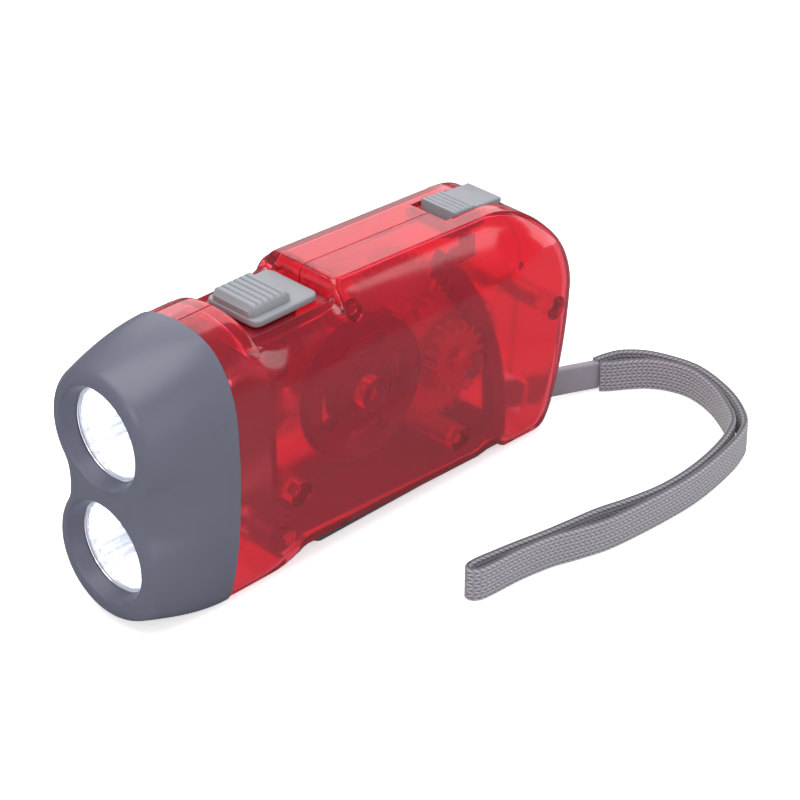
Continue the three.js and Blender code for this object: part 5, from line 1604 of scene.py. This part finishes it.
@dataclass
class Studio:
    """The floor, the backdrop, the lamps and the camera."""

    azimuth: float = math.radians(-45.176)
    elevation: float = math.radians(31.112)
    across: float = 53.328
    rise: float = 40.501
    distance: float = 528.215
    lens: float = 130.5
    fill: float = 0.38
    mirrored: float = 0.09
    through: float = 1.0
    floor_glow: float = 0.6
    floor_through: float = 0.75
    floor_mirrored: float = 0.16
    lamps: dict[str, tuple[tuple[float, float, float], float, float]] = field(default_factory=lambda: {
        "top": ((-0.1, 0.05, 0.9), 1.0, 8.5),
        "back": ((0.62, 0.6, 0.5), 0.8, 2.4),
        "tail": ((0.9, -0.4, 0.28), 0.7, 2.4),
        "side": ((-0.1, -1.0, 0.25), 0.7, 1.4),
        "front": ((-0.6, -0.35, 0.45), 0.3, 1.0),
    })

    def build(self) -> None:
        """Makes the studio."""
        self.build_floor()
        self.build_world()
        for name, (place, size, power) in self.lamps.items():
            self.build_lamp(name, place, size, power)
        self.build_camera()
        bpy.context.scene.view_settings.view_transform = "Standard"

    def build_floor(self) -> None:
        """Makes a pale floor that keeps the torch's shadow."""
        mesh = bmesh.new()
        bmesh.ops.create_grid(mesh, x_segments=1, y_segments=1, size=3)
        data = bpy.data.meshes.new("studio_floor")
        mesh.to_mesh(data)
        mesh.free()
        floor = added("studio_floor", data)
        finish = Finish("studio_white", (0.9, 0.9, 0.9), 0.9)
        finish.set("Emission Color", (1.0, 1.0, 1.0, 1.0))
        seen = finish.node("ShaderNodeLightPath", output="Is Camera Ray")
        through = finish.node("ShaderNodeLightPath", output="Is Transmission Ray")
        finish.set("Emission Strength", self.floor_glow * seen + self.floor_through * through)
        mirrored = finish.node("ShaderNodeLightPath", output="Is Glossy Ray")
        finish.tint(mirrored, (0.9, 0.9, 0.9), (self.floor_mirrored,) * 3)
        data.materials.append(finish.material)

    def build_world(self) -> None:
        """Makes an even white surrounding."""
        world = bpy.data.worlds.new("studio_world")
        world.use_nodes = True
        tree = world.node_tree
        ground = tree.nodes["Background"]
        ground.inputs["Color"].default_value = (1.0, 1.0, 1.0, 1.0)
        rays = tree.nodes.new("ShaderNodeLightPath")
        seen = Value(tree, rays.outputs["Is Camera Ray"])
        mirrored = Value(tree, rays.outputs["Is Glossy Ray"])
        through = Value(tree, rays.outputs["Is Transmission Ray"])
        level = self.fill + seen * (1.0 - self.fill) + mirrored * (self.mirrored - self.fill)
        level = level + through * (self.through - self.fill)
        tree.links.new(level.socket, ground.inputs["Strength"])
        bpy.context.scene.world = world

    def build_lamp(self, name: str, place: tuple[float, float, float], size: float, power: float) -> None:
        """Makes a soft lamp that points at the torch.

        Args:
            name: The lamp's name.
            place: Where it stands, in metres.
            size: The side of its square face, in metres.
            power: Its power in watts.
        """
        data = bpy.data.lights.new(f"studio_{name}", "AREA")
        data.size = size
        data.energy = power
        lamp = added(f"studio_{name}", data)
        lamp.location = place
        lamp.rotation_euler = (-Vector(place)).to_track_quat("-Z", "Y").to_euler()

    def build_camera(self) -> None:
        """Makes the camera at the photograph's viewing angle."""
        right = Vector((math.cos(self.azimuth), math.sin(self.azimuth), 0))
        back = Vector((
            math.sin(self.azimuth) * math.cos(self.elevation),
            -math.cos(self.azimuth) * math.cos(self.elevation),
            math.sin(self.elevation),
        ))
        up = back.cross(right)
        place = right * self.across + up * self.rise + back * self.distance + Vector((FRONT_X, 0, 0))
        data = bpy.data.cameras.new("studio_camera")
        data.lens = self.lens
        data.sensor_width = 36
        camera = added("studio_camera", data)
        camera.matrix_world = Matrix.Translation(place * MM) @ Matrix((right, up, back)).transposed().to_4x4()
        bpy.context.scene.camera = camera


def finishes() -> dict[str, bpy.types.Material]:
    """Returns each material slot's finish."""
    recipes = {
        "casing_red": ClearRed(),
        "bezel_grey": Moulded("head_grey", (0.128, 0.134, 0.182), 0.34, 0.12),
        "slider_grey": Moulded("slider_grey", (0.3, 0.31, 0.34), 0.42, 0.1),
        "lever_grey": Moulded("lever_grey", (0.1, 0.106, 0.13), 0.42),
        "lens_clear": Lens(),
        # The reflector's emission is a painted glow that stands in for the LED light it reflects.
        "reflector_mirror": Glow("mirror_painted_glow", (0.85, 0.87, 0.93), 0.12, 1.0, (0.86, 0.9, 1.0), 0.55),
        "led_lit": Glow("lit_white", (1.0, 1.0, 1.0), 0.3, 0.0, (1.0, 1.0, 1.0), 6.0),
        "gear_white": Moulded("gear_white", (0.62, 0.58, 0.53), 0.4),
        "flywheel_grey": Moulded("flywheel_grey", (0.07, 0.065, 0.1), 0.35),
        "steel": Metal("bright_steel", (0.62, 0.62, 0.64)),
        "magnet_dark": Moulded("magnet_coat", (0.6, 0.58, 0.56), 0.5),
        "copper_wire": Metal("copper_winding", (0.6, 0.2, 0.06), 0.35),
        "contact_brass": Metal("contact_brass", (0.6, 0.42, 0.13)),
        "board_green": Moulded("board_green", (0.03, 0.14, 0.05), 0.35),
        "dark_plastic": Moulded("dark_plastic", (0.016, 0.016, 0.019), 0.4),
        "wire_red": Moulded("wire_red", (0.46, 0.014, 0.022), 0.4),
        "wire_black": Moulded("wire_black", (0.012, 0.012, 0.015), 0.4),
        "strap_webbing": Braid(),
        "tab_sleeve": Moulded("tab_grey", (0.3, 0.28, 0.33), 0.35, 0.05),
    }
    return {slot: recipe.make() for slot, recipe in recipes.items()}


def main() -> None:
    """Builds the torch and its studio."""
    logging.basicConfig(level=logging.INFO, format="%(name)s: %(message)s")
    for thing in list(bpy.data.objects):
        bpy.data.objects.remove(thing)
    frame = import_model()
    slots = finishes()
    Studio().build()
    Strap(slots["strap_webbing"], slots["tab_sleeve"]).build()
    Insides(slots).dress(frame)
    casing = Casing(slots["casing_red"])
    LampHead(slots["bezel_grey"], slots["lens_clear"], slots["reflector_mirror"], casing).build()
    Sliders(slots["slider_grey"]).build()
    for side in Side:
        casing.build(side)


if __name__ == "__main__":
    main()
